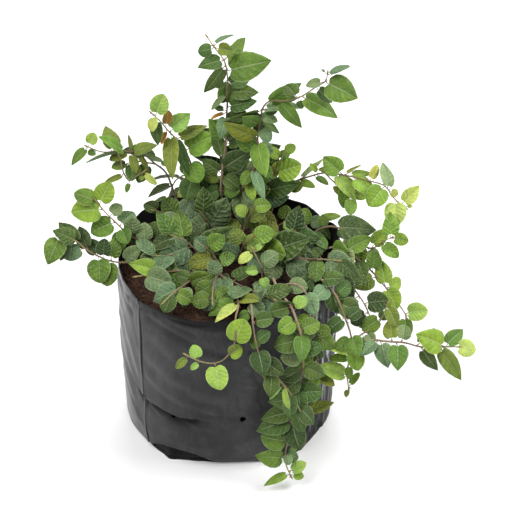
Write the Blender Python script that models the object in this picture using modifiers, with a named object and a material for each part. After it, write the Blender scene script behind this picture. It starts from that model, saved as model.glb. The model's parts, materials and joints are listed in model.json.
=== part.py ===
"""Creeping fig in a black polythene grow bag.

The bag is filled with soil. Every leafy shoot stands in a plain hole in the soil, and its stem,
branches and leaves are one solid. Routes are listed in millimetres. The model is in metres, +Z up,
and its origin is under the middle of the bag, on the surface that it stands on.
"""
import itertools
import math
import random
from dataclasses import dataclass

import bmesh
import bpy
from mathutils import Euler, Quaternion, Vector
from mathutils.bvhtree import BVHTree

MM = 0.001
TURN = 2 * math.pi
UP = Vector((0, 0, 1))

# The grow bag
BAG_RADIUS = 0.0796
BAG_SIDES = 40
FILM = 0.0008
RIM_HEIGHT = 0.1435
WALL_LEVELS = (0.003, 0.025, 0.055, 0.134)
FOOT_ROUNDING = 0.003
FOOT_RADIUS = 0.0785
FOOT_FLAT_ANGLES = (-86, 94)
FOOT_FLAT_DEPTH = 0.0105
FOOT_FLAT_WIDTH = 23
TAPER_HEIGHT = 0.060
CREASE_ANGLES = (-138, 42)
CREASE_DEPTH = 0.0014
CREASE_WIDTH = 7
RIM_WAVE_START = 0.134
RIM_FLARE = 0.10
RIM_FLARE_WAVES = 5
RIM_FLARE_TURN = 40
RIM_RIPPLES = ((0.0008, 7), (0.0006, 11))
RIM_STANDS = ((0.012, 8, 17), (0.006, 122, 32), (0.003, 58, 26), (0.003, -18, 14))
DRAIN_ANGLES = (-165, -120, -81, -38, 8, 52, 97, 142)
DRAIN_HEIGHT = 0.050
DRAIN_RADIUS = 0.0018
DRAIN_REACH = 0.004
DRAIN_SIDES = 6

# The soil
SOIL_GAP = 0.0005
SOIL_LEVEL = 0.1325
SOIL_SLOPE = -0.035
SOIL_LUMP = 0.0014
SMALL_LUMPS = (260, 230)
SMALL_LUMPS_SHIFT = 1.3
BROAD_LUMPS = (95, 140)
BROAD_LUMPS_SHARE = 0.6
SOIL_RINGS = (0.024, 0.026)
HOLE_BOTTOM = 0.1177
HOLE_TOP = 0.150
HOLE_SIDES = 5
HOLE_CLEARANCE = 0.00055

# Stems
STEM_STEP = 0.016
STEM_TIP = 0.0006
STEM_THINNING = 1.5
STEM_WELD = 0.00001

# Blades
BLADE_THICKNESS = 0.0008
LARGE_BLADE = 0.0242
LARGE_OUTLINE = ((0.80, 0.68), (0.42, 1.0), (0.06, 0.66))
SMALL_OUTLINE = ((0.70, 0.86), (0.18, 0.88))
BLADE_MIDDLE = 0.42
STALK_LENGTH = 0.0025
STALK_SHARE = 0.06
BLADE_FACE_SHARE = 0.85
BLADE_UP_SHARE = 0.45

# Growth: each pair is the least and the most of a seeded draw, angles are in degrees
YOUNG_STEM = 0.030
SAG = (0.0, 0.3)
TILT = (-0.35, 0.35)
HALF_WIDTH = (0.34, 0.42)
FOLD = (0.08, 0.30)
DROOP = (0.04, 0.22)
TURN_OF_LEAF = (-14, 14)
LIFT = (-6, 16)
SIZE = (0.80, 1.12)
GAP = (0.82, 1.18)
TIP_SIZE = 0.62
TIP_GAP = 0.75
TIP_SPREAD = 0.72
END_LEAF_SIZE = 0.6
END_LEAF_ANGLE = 16
END_LEAF_SETBACK = 0.001
TRIED_SCALES = (1.0, 0.88, 0.76, 0.64)
TRIED_LIFTS = (0, 10, -10, 22, -22, 36, -34, 54)
TRIED_ANGLES = (0, 20, -20, 38)

# Least changes that make a set leaf clear: each pair is a change and what it counts for
NUDGED_SCALES = ((1.0, 0), (0.93, 0.8), (0.86, 1.6), (0.78, 2.6), (0.68, 4))
NUDGED_TURNS = ((0, 0), (6, 0.5), (-6, 0.5), (13, 1.3), (-13, 1.3), (22, 2.6), (-22, 2.6))
NUDGED_LIFTS = ((0, 0), (6, 0.3), (-6, 0.3), (12, 0.8), (-12, 0.8), (20, 1.7), (-20, 1.7), (30, 3))
NUDGED_SHIFTS = ((0, 0), (1.5, 0.4), (-1.5, 0.4), (3, 1), (-3, 1), (5, 2.2), (-5, 2.2))
NUDGES = sorted(itertools.product(NUDGED_SCALES, NUDGED_TURNS, NUDGED_LIFTS, NUDGED_SHIFTS),
                key=lambda nudge: sum(cost for _, cost in nudge))

# Room that a leaf keeps from all else
CLEARANCE = 0.0004
FLOOR_ROOM = 0.002
FILM_ROOM = 0.0022
RIM_ROOM = 0.0015
SOIL_ROOM = 0.0020
ROOM_CHECKS_ALONG = 8
ROOM_CHECKS_ACROSS = (-1, -0.5, 0, 0.5, 1)

# Finishes
FILM_ROUGHNESS = 0.38
SOIL_ROUGHNESS = 0.95
LEAF_ROUGHNESS = 0.55
BAG_COLOUR = (0.030, 0.031, 0.033)
SOIL_COLOUR = (0.060, 0.028, 0.017)
DARK_LEAF = (0.045, 0.105, 0.045)
MID_LEAF = (0.090, 0.190, 0.050)
BRIGHT_LEAF = (0.190, 0.330, 0.070)


@dataclass(frozen=True)
class Habit:
    """How a shoot carries its leaves: the way they face, their size and gap, and the bare part."""
    face: tuple
    leaf: float
    gap: float
    bare: float
    side: int
    spread: float


@dataclass(frozen=True)
class Shoot:
    """A stem by the points of its route in millimetres, and the leaves that it carries.

    The leaves follow a habit, or else each is set by its distance along the stem, the compass
    angle, the rise and the roll of its blade in degrees, and the blade's length and width.
    """
    name: str
    node: str
    radius: float
    colour: tuple
    route: tuple
    habit: Habit = None
    leaves: tuple = ()


@dataclass
class Leaf:
    """One blade: where its stalk leaves the stem, the way it points and the way it faces."""
    root: Vector
    along: Vector
    normal: Vector
    length: float
    half_width: float
    stalk: float
    fold: float
    droop: float


SHOOTS = (
    Shoot("leader", "leader", 1.7, MID_LEAF,
          ((2, 36, 118), (2, 36, 138), (-4, 35, 167), (-4, 35, 186), (-3, 36, 197), (-1, 38, 210),
           (0, 40, 232), (1, 42, 252), (1, 42, 268), (-1, 42, 280), (-8, 42, 291), (-12, 42, 298)),
          leaves=((57, 1, -19, 10, 14.5, 7), (59, 177, -27, -37, 10.5, 10), (69, 156, -10, -84, 12, 7.5),
                  (71, -17, -29, 30, 11.5, 10), (77, -2, 36, 74, 18.5, 13.5), (85, 129, 60, -51, 21.5, 9),
                  (91, 39, -7, 79, 14.5, 7.5), (93, 43, 11, 50, 11.5, 11), (111, 143, 6, -4, 9.5, 7.5),
                  (120, -106, -31, -4, 14, 8.5), (126, -8, 20, 46, 17, 10), (136, 8, -9, 29, 17, 11),
                  (136, -154, -30, 16, 11.5, 8), (143, 34, 6, 26, 15.5, 11), (155, -3, 16, 50, 26, 18),
                  (160, -146, -47, -92, 19, 11), (164, 42, 16, 84, 20.5, 11),
                  (164, -151, 3, -40, 14.5, 10), (170, 174, -17, -45, 9, 8.5),
                  (178, 28, 18, -14, 12.5, 7))),
    Shoot("leader_right", "leader", 1.4, MID_LEAF,
          ((-3, 35, 154), (6, 35, 169), (14, 35, 183), (20, 34, 198), (22, 32, 221), (24, 30, 239),
           (26, 28, 251), (31, 25, 258), (40, 20, 261), (50, 14, 267), (62, 9, 279), (68, 6, 285),
           (69, 5, 291)),
          leaves=((24, -68, -59, 8, 20.5, 14), (26, -25, -51, 39, 11, 6.5), (37, -76, -40, 2, 12.5, 6.5),
                  (46, -130, -28, -22, 10, 7.5), (47, -72, -31, -5, 20.5, 7), (55, -3, -49, 52, 17, 7.5),
                  (72, -81, -24, 26, 23.5, 12), (72, -8, -36, 45, 10, 8.5),
                  (75, -166, 30, -106, 22.5, 13), (91, 3, -34, 19, 14, 6.5), (93, 170, -30, -30, 17, 8),
                  (99, -175, -23, -109, 23.5, 11), (100, -13, 17, 6, 23.5, 12),
                  (106, 5, 26, 102, 22, 12.5), (117, -20, -48, 41, 19.5, 9), (136, 129, 20, -22, 10, 9.5),
                  (139, -14, -21, 31, 23.5, 12.5), (153, -3, -43, 39, 13, 8),
                  (162, -28, -12, 39, 19.5, 16.5), (162, 178, -14, -24, 9, 7),
                  (168, 20, 25, -11, 12.5, 8))),
    Shoot("front_runner", "front_runner", 1.2, BRIGHT_LEAF,
          ((4, -33, 118), (4, -33, 138), (7, -50, 146), (9, -66, 149), (7, -78, 148), (7, -85, 141),
           (6, -87, 131), (2, -89, 124), (-3, -90, 119), (-10, -91, 118), (-18, -91, 120),
           (-26, -91, 125)),
          leaves=((48, -18, -4, 11, 12.5, 8), (50, -170, -22, -32, 17.5, 9.5),
                  (52, -129, -20, 3, 19, 7.5), (87, 44, 60, 33, 15, 14.5), (108, -75, -42, 16, 14.5, 13))),
    Shoot("front_trail", "front_trail", 1.6, MID_LEAF,
          ((32, -20, 118), (32, -20, 138), (36, -40, 144), (41, -56, 147), (45, -68, 150), (49, -77, 144),
           (53, -81, 130), (54, -81, 112), (53, -81, 98), (50, -83, 82), (47, -85, 64), (45, -87, 46),
           (42, -89, 31), (43, -91, 20), (46, -93, 13)),
          leaves=((72, -163, -3, -31, 11, 10.5), (81, -143, -15, -52, 11, 10.5),
                  (90, 19, 16, 29, 11, 10.5), (97, -169, -7, -37, 15, 13), (108, 1, 22, 40, 9.5, 9),
                  (112, -161, 11, -49, 12, 11.5), (123, -163, -25, -60, 13.5, 10.5),
                  (132, -143, -20, -51, 12.5, 10), (145, -9, 15, 50, 13.5, 12),
                  (149, -179, -15, -64, 16, 11), (161, -172, -10, -42, 18.5, 11),
                  (169, -161, -2, -41, 20.5, 13), (187, -167, 17, -64, 15.5, 14.5),
                  (202, -171, 9, -69, 17, 12.5), (215, 12, 29, 32, 10, 7.5), (216, -163, -14, -20, 16, 6))),
    Shoot("front_trail_side", "front_trail", 1.1, DARK_LEAF,
          ((36, -40, 144), (45, -44, 151), (52, -50, 153), (57, -56, 149), (60, -61, 141), (61, -65, 128),
           (63, -68, 111), (65, -70, 97), (63, -73, 85), (59, -76, 73), (56, -79, 61)),
          leaves=((8, -14, 7, 33, 11.5, 10.5), (44, -165, -11, -31, 12, 9),
                  (67, -134, -26, -25, 11.5, 8.5), (80, -157, -12, -18, 12, 6.5),
                  (90, -111, -32, -8, 11, 7), (93, -20, -17, 19, 10.5, 7.5), (123, 17, 13, 20, 17, 8.5),
                  (123, -162, 6, -1, 15, 4.5), (124, -139, -16, -30, 10.5, 6.5))),
    Shoot("front_middle", "front_middle", 1.3, MID_LEAF,
          ((13, -38, 118), (13, -38, 138), (16, -55, 147), (18, -70, 150), (19, -81, 143), (21, -86, 132),
           (24, -88, 121), (30, -89, 111), (38, -91, 102), (45, -94, 93), (51, -97, 82), (55, -99, 72)),
          leaves=((43, -45, -28, 26, 11, 10), (65, 3, 12, 33, 10.5, 10), (94, -30, -22, 34, 14, 11),
                  (116, 169, 22, -27, 10, 7), (119, -139, -22, -8, 10, 3), (120, -84, -33, 50, 12, 5))),
    Shoot("right_trail", "right_trail", 1.5, MID_LEAF,
          ((54, -28, 118), (54, -28, 139), (61, -33, 148), (69, -39, 149), (77, -46, 142), (83, -54, 130),
           (87, -60, 121), (89, -62, 115), (96, -60, 119), (103, -58, 122), (109, -55, 128),
           (113, -51, 138)),
          leaves=((34, -141, -21, -30, 10.5, 10), (48, -135, -19, -27, 13.5, 10.5),
                  (56, 34, 26, 52, 10.5, 9.5), (73, -148, -22, -23, 12, 9.5), (75, 29, 26, 24, 9.5, 9),
                  (88, -145, -19, -32, 10.5, 8), (116, -169, -31, -33, 12.5, 10.5),
                  (126, -59, -35, 15, 12, 8.5))),
    Shoot("right_trail_far", "right_trail", 1.1, MID_LEAF,
          ((89, -62, 115), (96, -65, 117), (104, -67, 119), (115, -69, 119), (125, -70, 119),
           (136, -71, 116), (147, -71, 116), (154, -71, 116), (161, -71, 116)),
          leaves=((19, -143, -13, -12, 12, 8), (19, -72, -39, 22, 15, 11), (29, 104, 47, -27, 13, 10),
                  (31, -90, -35, 6, 15.5, 12.5), (34, 82, 41, 16, 9.5, 9), (47, 45, 25, 6, 14.5, 7.5),
                  (49, -48, -35, 57, 15.5, 9), (62, -36, -44, 56, 23, 10.5), (66, 46, 17, 22, 16, 9.5),
                  (67, -165, 24, -51, 19, 15), (73, 0, -7, 43, 11.5, 11))),
    Shoot("right_trail_drop", "right_trail", 1.0, BRIGHT_LEAF,
          ((89, -62, 115), (89, -65, 105), (86, -68, 96), (86, -69, 85), (87, -70, 78)),
          leaves=((6, -71, -41, 8, 12.5, 10.5), (8, -176, 25, -22, 17, 8), (15, -171, 13, -15, 11, 6.5),
                  (29, -173, 29, -41, 20.5, 10.5), (39, 35, 44, 21, 9, 4.5))),
    Shoot("arch_right", "arch_right", 1.4, MID_LEAF,
          ((30, 44, 118), (30, 44, 138), (34, 47, 154), (42, 46, 168), (50, 43, 178), (60, 39, 185),
           (71, 35, 191), (81, 30, 193), (91, 25, 194), (103, 21, 193), (113, 17, 192), (119, 14, 184),
           (127, 11, 178)),
          leaves=((52, 152, -4, -31, 13.5, 8), (67, -24, -2, 20, 10.5, 6), (69, 45, 21, -24, 19.5, 7.5),
                  (70, -154, -52, -28, 9, 7), (82, -26, -13, 7, 9, 5.5), (100, -48, -21, 5, 20, 10),
                  (106, 144, 27, -36, 15, 12.5), (106, 34, 17, -12, 11, 4.5), (111, 18, 7, 2, 14.5, 7.5),
                  (112, -38, -18, 21, 17.5, 10.5), (118, -88, -58, -38, 16, 4.5),
                  (126, 51, 32, 51, 10, 6), (138, -133, -27, -30, 14, 13.5), (142, 109, 41, 25, 17.5, 11),
                  (151, -91, -45, 4, 14.5, 13.5), (157, 26, 42, 36, 14, 9.5))),
    Shoot("arch_right_twig", "arch_right", 1.0, BRIGHT_LEAF,
          ((71, 35, 191), (77, 31, 186), (85, 28, 182), (90, 25, 177)),
          Habit((0.1, -0.8, 0.6), 17, 9, 8, -1, 55)),
    Shoot("right_high", "right_high", 1.4, DARK_LEAF,
          ((58, 18, 118), (58, 18, 139), (65, 17, 152), (75, 13, 159), (85, 8, 159), (94, 2, 153),
           (101, -2, 151), (107, -4, 153), (112, -6, 160), (117, -8, 164)),
          leaves=((49, -19, 5, 45, 23.5, 16), (60, -113, -28, -9, 13, 11), (62, 24, -1, 31, 16.5, 8.5),
                  (69, -87, -35, 13, 11, 9), (75, -67, -46, 8, 10, 9), (84, 26, 48, 32, 14, 9.5),
                  (94, -47, -17, 26, 12.5, 8.5), (102, 88, 61, 12, 14.5, 11), (102, -13, -1, 32, 9, 8.5))),
    Shoot("right_middle", "right_middle", 1.4, MID_LEAF,
          ((62, -2, 118), (62, -2, 139), (70, -3, 150), (82, -6, 154), (93, -9, 147), (103, -14, 140),
           (112, -20, 132), (120, -25, 123), (127, -28, 114), (131, -30, 106)),
          leaves=((48, -71, -31, 26, 14.5, 11.5), (65, -123, -59, -16, 13.5, 9.5),
                  (72, 157, 5, -39, 11, 8.5), (76, 66, 70, 30, 11.5, 10), (80, -153, -17, -56, 13.5, 11),
                  (89, 101, 47, 1, 16, 11), (89, -64, -23, 28, 13.5, 13), (91, 35, 8, 55, 11.5, 8.5),
                  (115, -6, 15, 47, 12.5, 11.5), (119, -129, -69, -42, 11.5, 8))),
    Shoot("right_low", "right_low", 1.3, DARK_LEAF,
          ((60, -15, 118), (60, -15, 139), (69, -21, 149), (80, -28, 148), (90, -34, 139), (98, -38, 128),
           (103, -41, 117)),
          leaves=((46, -157, -20, -27, 14.5, 11.5), (50, -52, -35, 20, 13.5, 9.5),
                  (56, -139, -13, -31, 16, 11.5), (62, 54, 30, 39, 11.5, 8.5),
                  (69, -147, -8, -36, 15, 11), (77, 8, 2, 63, 14, 13), (85, -154, -18, -37, 10.5, 10))),
    Shoot("back_left", "back_left", 1.5, MID_LEAF,
          ((-33, 58, 118), (-33, 58, 137), (-39, 61, 150), (-42, 60, 163), (-46, 57, 177), (-53, 54, 186),
           (-63, 49, 199), (-79, 43, 204), (-90, 38, 207), (-99, 34, 214)),
          leaves=((84, -16, -4, 1, 9.5, 6), (92, 153, -1, -20, 10, 6.5), (94, -43, -30, -8, 12, 5),
                  (98, -2, 22, 26, 15.5, 9), (99, -160, -6, -20, 11.5, 7.5), (100, 95, 38, 46, 10, 4.5),
                  (100, -68, -32, -2, 12, 6), (101, -170, -21, 16, 21.5, 7),
                  (103, -166, 19, -17, 21, 11.5), (109, 113, 35, 1, 17, 11.5),
                  (133, -139, -28, -8, 13.5, 7.5))),
    Shoot("back_left_twig", "back_left", 1.0, MID_LEAF,
          ((-53, 54, 186), (-60, 50, 190), (-68, 46, 194), (-72, 44, 193)),
          Habit((-0.1, -0.7, 0.7), 16, 9, 6, -1, 58)),
    Shoot("back_left_drop", "back_left", 0.9, MID_LEAF,
          ((-79, 43, 204), (-77, 41, 198), (-75, 38, 189), (-71, 36, 183), (-66, 34, 188), (-60, 32, 194)),
          leaves=((18, -154, -8, -8, 12.5, 5.5), (39, -36, -22, 71, 10, 5))),
    Shoot("upright_left", "upright_left", 1.5, MID_LEAF,
          ((-19, 44, 118), (-19, 44, 137), (-22, 46, 153), (-24, 46, 172), (-26, 45, 191), (-31, 43, 207),
           (-36, 41, 216), (-42, 39, 225), (-47, 37, 234), (-52, 35, 241)),
          leaves=((44, -34, -15, 33, 17.5, 12), (57, -168, -40, -44, 13, 8), (60, -25, -41, 37, 17, 11),
                  (63, -113, -36, -14, 13.5, 13), (64, 130, 12, -26, 12, 8),
                  (75, -19, -47, 71, 11.5, 9.5), (78, -66, -27, 25, 14, 13), (88, 9, 31, 46, 17.5, 16),
                  (101, 33, 1, 28, 20, 8.5), (103, -45, -62, 6, 24, 8.5), (107, -91, -38, 24, 27, 11),
                  (110, 32, 28, 28, 15.5, 12), (113, -108, -26, 14, 9, 4), (124, -93, -65, 18, 14.5, 8.5),
                  (128, 50, 55, 31, 12.5, 11.5), (130, -93, -25, 17, 9.5, 7))),
    Shoot("upright_right", "upright_right", 1.4, MID_LEAF,
          ((18, 42, 118), (18, 42, 138), (22, 42, 153), (28, 41, 168), (33, 38, 184), (37, 36, 197),
           (41, 34, 208)),
          leaves=((46, 10, 0, 88, 15.5, 11), (48, -136, -30, -16, 10.5, 8.5), (55, -9, 22, 49, 20, 13.5),
                  (67, 33, 70, 38, 10.5, 6), (72, 2, 22, 51, 15.5, 14.5))),
    Shoot("left_high", "left_high", 1.3, MID_LEAF,
          ((-43, 4, 118), (-43, 4, 138), (-52, 6, 145), (-61, 8, 148), (-68, 9, 152), (-74, 10, 157),
           (-80, 12, 163), (-87, 13, 171), (-93, 14, 180)),
          leaves=((35, 139, 16, -30, 9, 7.5), (37, 93, 63, 2, 11, 10.5), (44, 151, -4, -40, 11, 6.5),
                  (48, 78, 67, 20, 11, 10.5), (56, -36, -25, 36, 14.5, 12.5),
                  (59, -120, -60, -19, 12.5, 10), (62, 41, 26, 18, 12, 11.5),
                  (67, -157, -10, -44, 14.5, 13), (80, -163, 7, -43, 18, 16), (85, 44, 53, 32, 13.5, 13),
                  (88, 145, 18, -23, 13, 11.5))),
    Shoot("left_far", "left_far", 1.4, DARK_LEAF,
          ((-46, -12, 118), (-46, -12, 138), (-60, -13, 147), (-73, -13, 146), (-82, -13, 147),
           (-92, -12, 151), (-101, -11, 157), (-106, -10, 162), (-113, -10, 166), (-118, -9, 166)),
          leaves=((39, -1, 34, 88, 12.5, 8.5), (51, 19, 42, 30, 14, 10), (57, -84, -39, 11, 14.5, 14),
                  (60, 75, 34, 23, 14.5, 10), (65, 86, 73, -6, 10.5, 10), (67, 128, 29, -20, 13.5, 10),
                  (69, -82, -43, 11, 15, 14.5), (78, 111, 20, -29, 17, 10), (81, -162, -15, -40, 12, 10),
                  (86, 132, 18, -25, 19.5, 10), (88, -180, 34, -38, 14.5, 10.5),
                  (95, -140, -69, -51, 13.5, 8.5), (100, -118, -41, -17, 18, 13.5))),
    Shoot("upright_middle", "upright_middle", 1.3, DARK_LEAF,
          ((12, 48, 118), (12, 48, 137), (13, 47, 155), (15, 47, 172), (17, 47, 188), (20, 46, 203)),
          Habit((0, -1, 0.4), 25, 9.5, 28, 1, 60)),
    Shoot("mat_back_left", "mat_back_left", 1.4, DARK_LEAF,
          ((-10, 27, 118), (-10, 27, 137), (-20, 33, 145), (-31, 38, 148), (-43, 41, 150), (-54, 41, 153)),
          leaves=((27, -119, -28, -14, 9.5, 9), (28, -8, 27, 48, 9, 9), (30, 24, 51, 39, 9, 8.5),
                  (39, 50, 40, 21, 11.5, 10.5), (47, 68, 40, 8, 11, 10.5), (49, -150, -17, -35, 17, 13.5),
                  (52, 138, 36, -26, 11, 10.5))),
    Shoot("mat_back_high", "mat_back_left", 1.1, MID_LEAF,
          ((-10, 27, 137), (-12, 24, 149), (-15, 20, 160), (-19, 16, 169)),
          Habit((0, -0.8, 0.7), 22, 8.5, 9, -1, 60)),
    Shoot("mat_left", "mat_left", 1.4, DARK_LEAF,
          ((-18, -2, 118), (-18, -2, 137), (-29, 4, 145), (-40, 11, 149), (-51, 17, 151), (-62, 22, 152)),
          leaves=((24, 35, 24, 22, 10.5, 10), (34, -177, 23, -41, 15.5, 11.5),
                  (48, -160, -17, -29, 10, 9.5), (54, 154, 23, -26, 9.5, 9))),
    Shoot("mat_left_high", "mat_left", 1.1, MID_LEAF,
          ((-18, -2, 137), (-22, -3, 149), (-30, -3, 158), (-40, -3, 163)),
          Habit((0, -0.6, 0.9), 22, 8.5, 9, 1, 60)),
    Shoot("mat_front_left", "mat_front_left", 1.4, MID_LEAF,
          ((-20, -20, 118), (-20, -20, 137), (-30, -23, 146), (-41, -28, 149), (-52, -33, 151),
           (-62, -37, 152)),
          leaves=((22, 129, 32, -21, 14.5, 11.5), (27, 18, 38, 41, 10, 8.5),
                  (32, -139, -18, -29, 12, 11.5), (39, 151, 11, -36, 12, 10), (52, 176, 26, -34, 15, 10),
                  (62, -28, 0, 39, 14, 13))),
    Shoot("mat_front", "mat_front_left", 1.2, MID_LEAF,
          ((-20, -20, 137), (-22, -32, 147), (-28, -44, 151), (-35, -55, 153), (-42, -65, 152)),
          leaves=((27, -5, 24, 77, 10.5, 9.5), (31, -97, -33, 4, 11, 10), (37, -155, -12, -38, 14, 11.5),
                  (44, -13, -25, 31, 9, 8.5), (46, -117, -33, -12, 9, 8.5))),
    Shoot("mat_front_middle", "mat_front_middle", 1.4, DARK_LEAF,
          ((-4, -16, 118), (-4, -16, 137), (-6, -28, 147), (-8, -41, 151), (-9, -53, 153), (-9, -65, 152)),
          leaves=((20, -144, -8, -35, 11, 10), (52, -156, -21, -37, 9.5, 9), (62, -32, -19, 24, 10, 9.5),
                  (70, 179, -12, -34, 9.5, 9))),
    Shoot("mat_middle_high", "mat_front_middle", 1.1, BRIGHT_LEAF,
          ((-4, -16, 137), (-7, -15, 149), (-12, -16, 159), (-19, -18, 166)),
          leaves=((16, -154, 2, -41, 12, 9.5), (26, 12, 40, 44, 10, 9.5))),
    Shoot("mat_centre", "mat_centre", 1.4, DARK_LEAF,
          ((10, -4, 118), (10, -4, 137), (19, -4, 147), (29, -3, 151), (39, -1, 153), (49, 3, 155)),
          leaves=((30, -36, -18, 32, 12.5, 11.5), (35, 132, 39, -22, 9.5, 9), (39, -27, 8, 48, 16.5, 15),
                  (46, -27, -24, 35, 16, 12.5), (57, -21, 5, 42, 21.5, 14.5), (62, 28, 25, 35, 9.5, 9))),
    Shoot("mat_centre_high", "mat_centre", 1.1, MID_LEAF,
          ((10, -4, 137), (10, -6, 149), (13, -9, 160), (19, -12, 168)),
          leaves=((9, 173, 34, -35, 10, 9.5), (20, 0, 25, 46, 11.5, 9.5), (21, 152, 39, -35, 9, 8.5),
                  (32, 7, 18, 33, 11, 10))),
    Shoot("mat_centre_back", "mat_centre_back", 1.2, BRIGHT_LEAF,
          ((6, 20, 118), (6, 20, 137), (11, 20, 149), (15, 20, 160), (18, 19, 171)),
          leaves=((29, 156, 36, -37, 11.5, 9), (42, 16, 36, 31, 11, 8.5), (55, 9, 11, 32, 9, 8.5))),
    Shoot("mat_right", "mat_right", 1.4, BRIGHT_LEAF,
          ((28, 14, 118), (28, 14, 137), (37, 17, 147), (47, 21, 150), (57, 25, 152), (66, 28, 154)),
          leaves=((25, -33, -8, 41, 12.5, 11.5), (33, 154, 23, -26, 11, 10.5), (38, 28, 39, 35, 12.5, 9),
                  (51, 49, 55, 37, 9, 8.5), (53, -40, -21, 19, 11, 8), (64, -39, -25, 9, 11.5, 6),
                  (65, 9, 11, 12, 11.5, 6.5))),
    Shoot("mat_back_right", "mat_right", 1.1, BRIGHT_LEAF,
          ((28, 14, 137), (33, 24, 146), (41, 33, 148), (50, 39, 149)),
          leaves=((14, 130, 55, -11, 15, 9.5),)),
    Shoot("mat_front_right", "mat_front_right", 1.4, DARK_LEAF,
          ((27, -11, 118), (27, -11, 137), (37, -13, 147), (47, -17, 152), (58, -22, 156), (68, -25, 158),
           (78, -28, 159)),
          leaves=((33, -121, -33, -15, 10.5, 10), (43, -46, -19, 26, 17, 13), (52, 107, 36, -4, 10, 9.5),
                  (58, -33, -36, 32, 15, 11), (65, -97, -31, 4, 11.5, 8.5), (69, -22, -9, 39, 14.5, 14),
                  (78, -17, -29, 40, 13, 8.5))),
    Shoot("mat_right_high", "mat_front_right", 1.1, MID_LEAF,
          ((27, -11, 137), (32, -9, 150), (39, -7, 161), (48, -6, 168)),
          Habit((0, -0.6, 0.9), 22, 8.5, 9, -1, 60)),
    Shoot("front_sprout", "front_sprout", 1.0, BRIGHT_LEAF,
          ((21, -29, 118), (21, -29, 137), (25, -36, 148), (24, -35, 160), (19, -31, 170)),
          leaves=((45, 18, 30, 40, 11, 10.5), (56, -143, -19, -21, 9.5, 6.5))),
    Shoot("back_trail_middle", "back_trail_middle", 1.3, MID_LEAF,
          ((-8, 58, 118), (-8, 58, 137), (-10, 68, 153), (-12, 79, 157), (-14, 90, 149), (-15, 97, 136),
           (-15, 101, 122)),
          Habit((0, 1, 0.4), 20, 9, 26, 1, 60)),
    Shoot("back_trail_right", "back_trail_right", 1.3, MID_LEAF,
          ((14, 60, 118), (14, 60, 137), (17, 69, 152), (21, 80, 155), (25, 90, 146), (28, 97, 133),
           (29, 101, 120)),
          Habit((0, 1, 0.4), 20, 9, 26, -1, 60)),
    Shoot("back_trail_left", "back_trail_left", 1.3, MID_LEAF,
          ((-24, 62, 118), (-24, 62, 137), (-29, 71, 154), (-35, 80, 156), (-41, 88, 147), (-45, 93, 133),
           (-47, 96, 119)),
          Habit((-0.3, 1, 0.4), 20, 9, 26, 1, 60)),
    Shoot("back_upright", "back_upright", 1.3, DARK_LEAF,
          ((1, 52, 118), (1, 52, 137), (-1, 57, 155), (-3, 60, 173), (-4, 61, 190), (-4, 61, 205)),
          Habit((0, 0.7, 0.7), 22, 9.5, 30, -1, 60)),
)


def bump(angle, centre, width):
    """A rounded rise of height 1 round an angle, all in degrees."""
    away = (angle - centre + 180) % 360 - 180
    return math.exp(-(away / width) ** 2)


def wall_radius(angle, height):
    """Outer radius of the film: round above, and drawn in flat at the front and back of the foot."""
    flatness = sum(bump(angle, centre, FOOT_FLAT_WIDTH) for centre in FOOT_FLAT_ANGLES)
    foot = FOOT_RADIUS - FOOT_FLAT_DEPTH * flatness
    drawn_in = max(0.0, 1 - height / TAPER_HEIGHT) ** 2
    crease = sum(bump(angle, centre, CREASE_WIDTH) for centre in CREASE_ANGLES)
    wave = math.sin(math.radians(RIM_FLARE_WAVES * angle + RIM_FLARE_TURN))
    flare = max(0.0, height - RIM_WAVE_START) * RIM_FLARE * wave
    return BAG_RADIUS - (BAG_RADIUS - foot) * drawn_in + CREASE_DEPTH * crease + flare


def rim_height(angle):
    """Height of the bag's cut edge, which stands up at the right and at the back left."""
    ripple = sum(rise * math.sin(math.radians(waves * angle)) for rise, waves in RIM_RIPPLES)
    stands = sum(rise * bump(angle, centre, width) for rise, centre, width in RIM_STANDS)
    return RIM_HEIGHT + ripple + stands


def soil_height(x, y):
    """Height of the crumbly top of the soil, a little higher in front."""
    small = math.sin(x * SMALL_LUMPS[0] + SMALL_LUMPS_SHIFT) * math.cos(y * SMALL_LUMPS[1])
    broad = BROAD_LUMPS_SHARE * math.sin(x * BROAD_LUMPS[0] - y * BROAD_LUMPS[1])
    return SOIL_LEVEL + SOIL_SLOPE * y + SOIL_LUMP * (small + broad)


def polar(angle, radius, height):
    """The point at an angle in degrees, a radius and a height."""
    return Vector((radius * math.cos(math.radians(angle)), radius * math.sin(math.radians(angle)), height))


def material(name, colour, roughness):
    """A plain Principled finish."""
    made = bpy.data.materials.new(name)
    made.use_nodes = True
    shader = made.node_tree.nodes["Principled BSDF"]
    shader.inputs["Base Color"].default_value = (*colour, 1)
    shader.inputs["Roughness"].default_value = roughness
    shader.inputs["Metallic"].default_value = 0.0
    made.diffuse_color = (*colour, 1)
    return made


def new_object(name, mesh, collection):
    """An object at the origin for a finished mesh."""
    made = bpy.data.objects.new(name, mesh)
    collection.objects.link(made)
    return made


def mesh_from(bm, name):
    """A mesh from a bmesh with its faces turned outwards."""
    bmesh.ops.recalc_face_normals(bm, faces=bm.faces[:])
    mesh = bpy.data.meshes.new(name)
    bm.to_mesh(mesh)
    bm.free()
    return mesh


def evaluated_mesh(made):
    """The object's mesh with its modifiers worked in."""
    depsgraph = bpy.context.evaluated_depsgraph_get()
    return bpy.data.meshes.new_from_object(made.evaluated_get(depsgraph))


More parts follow.
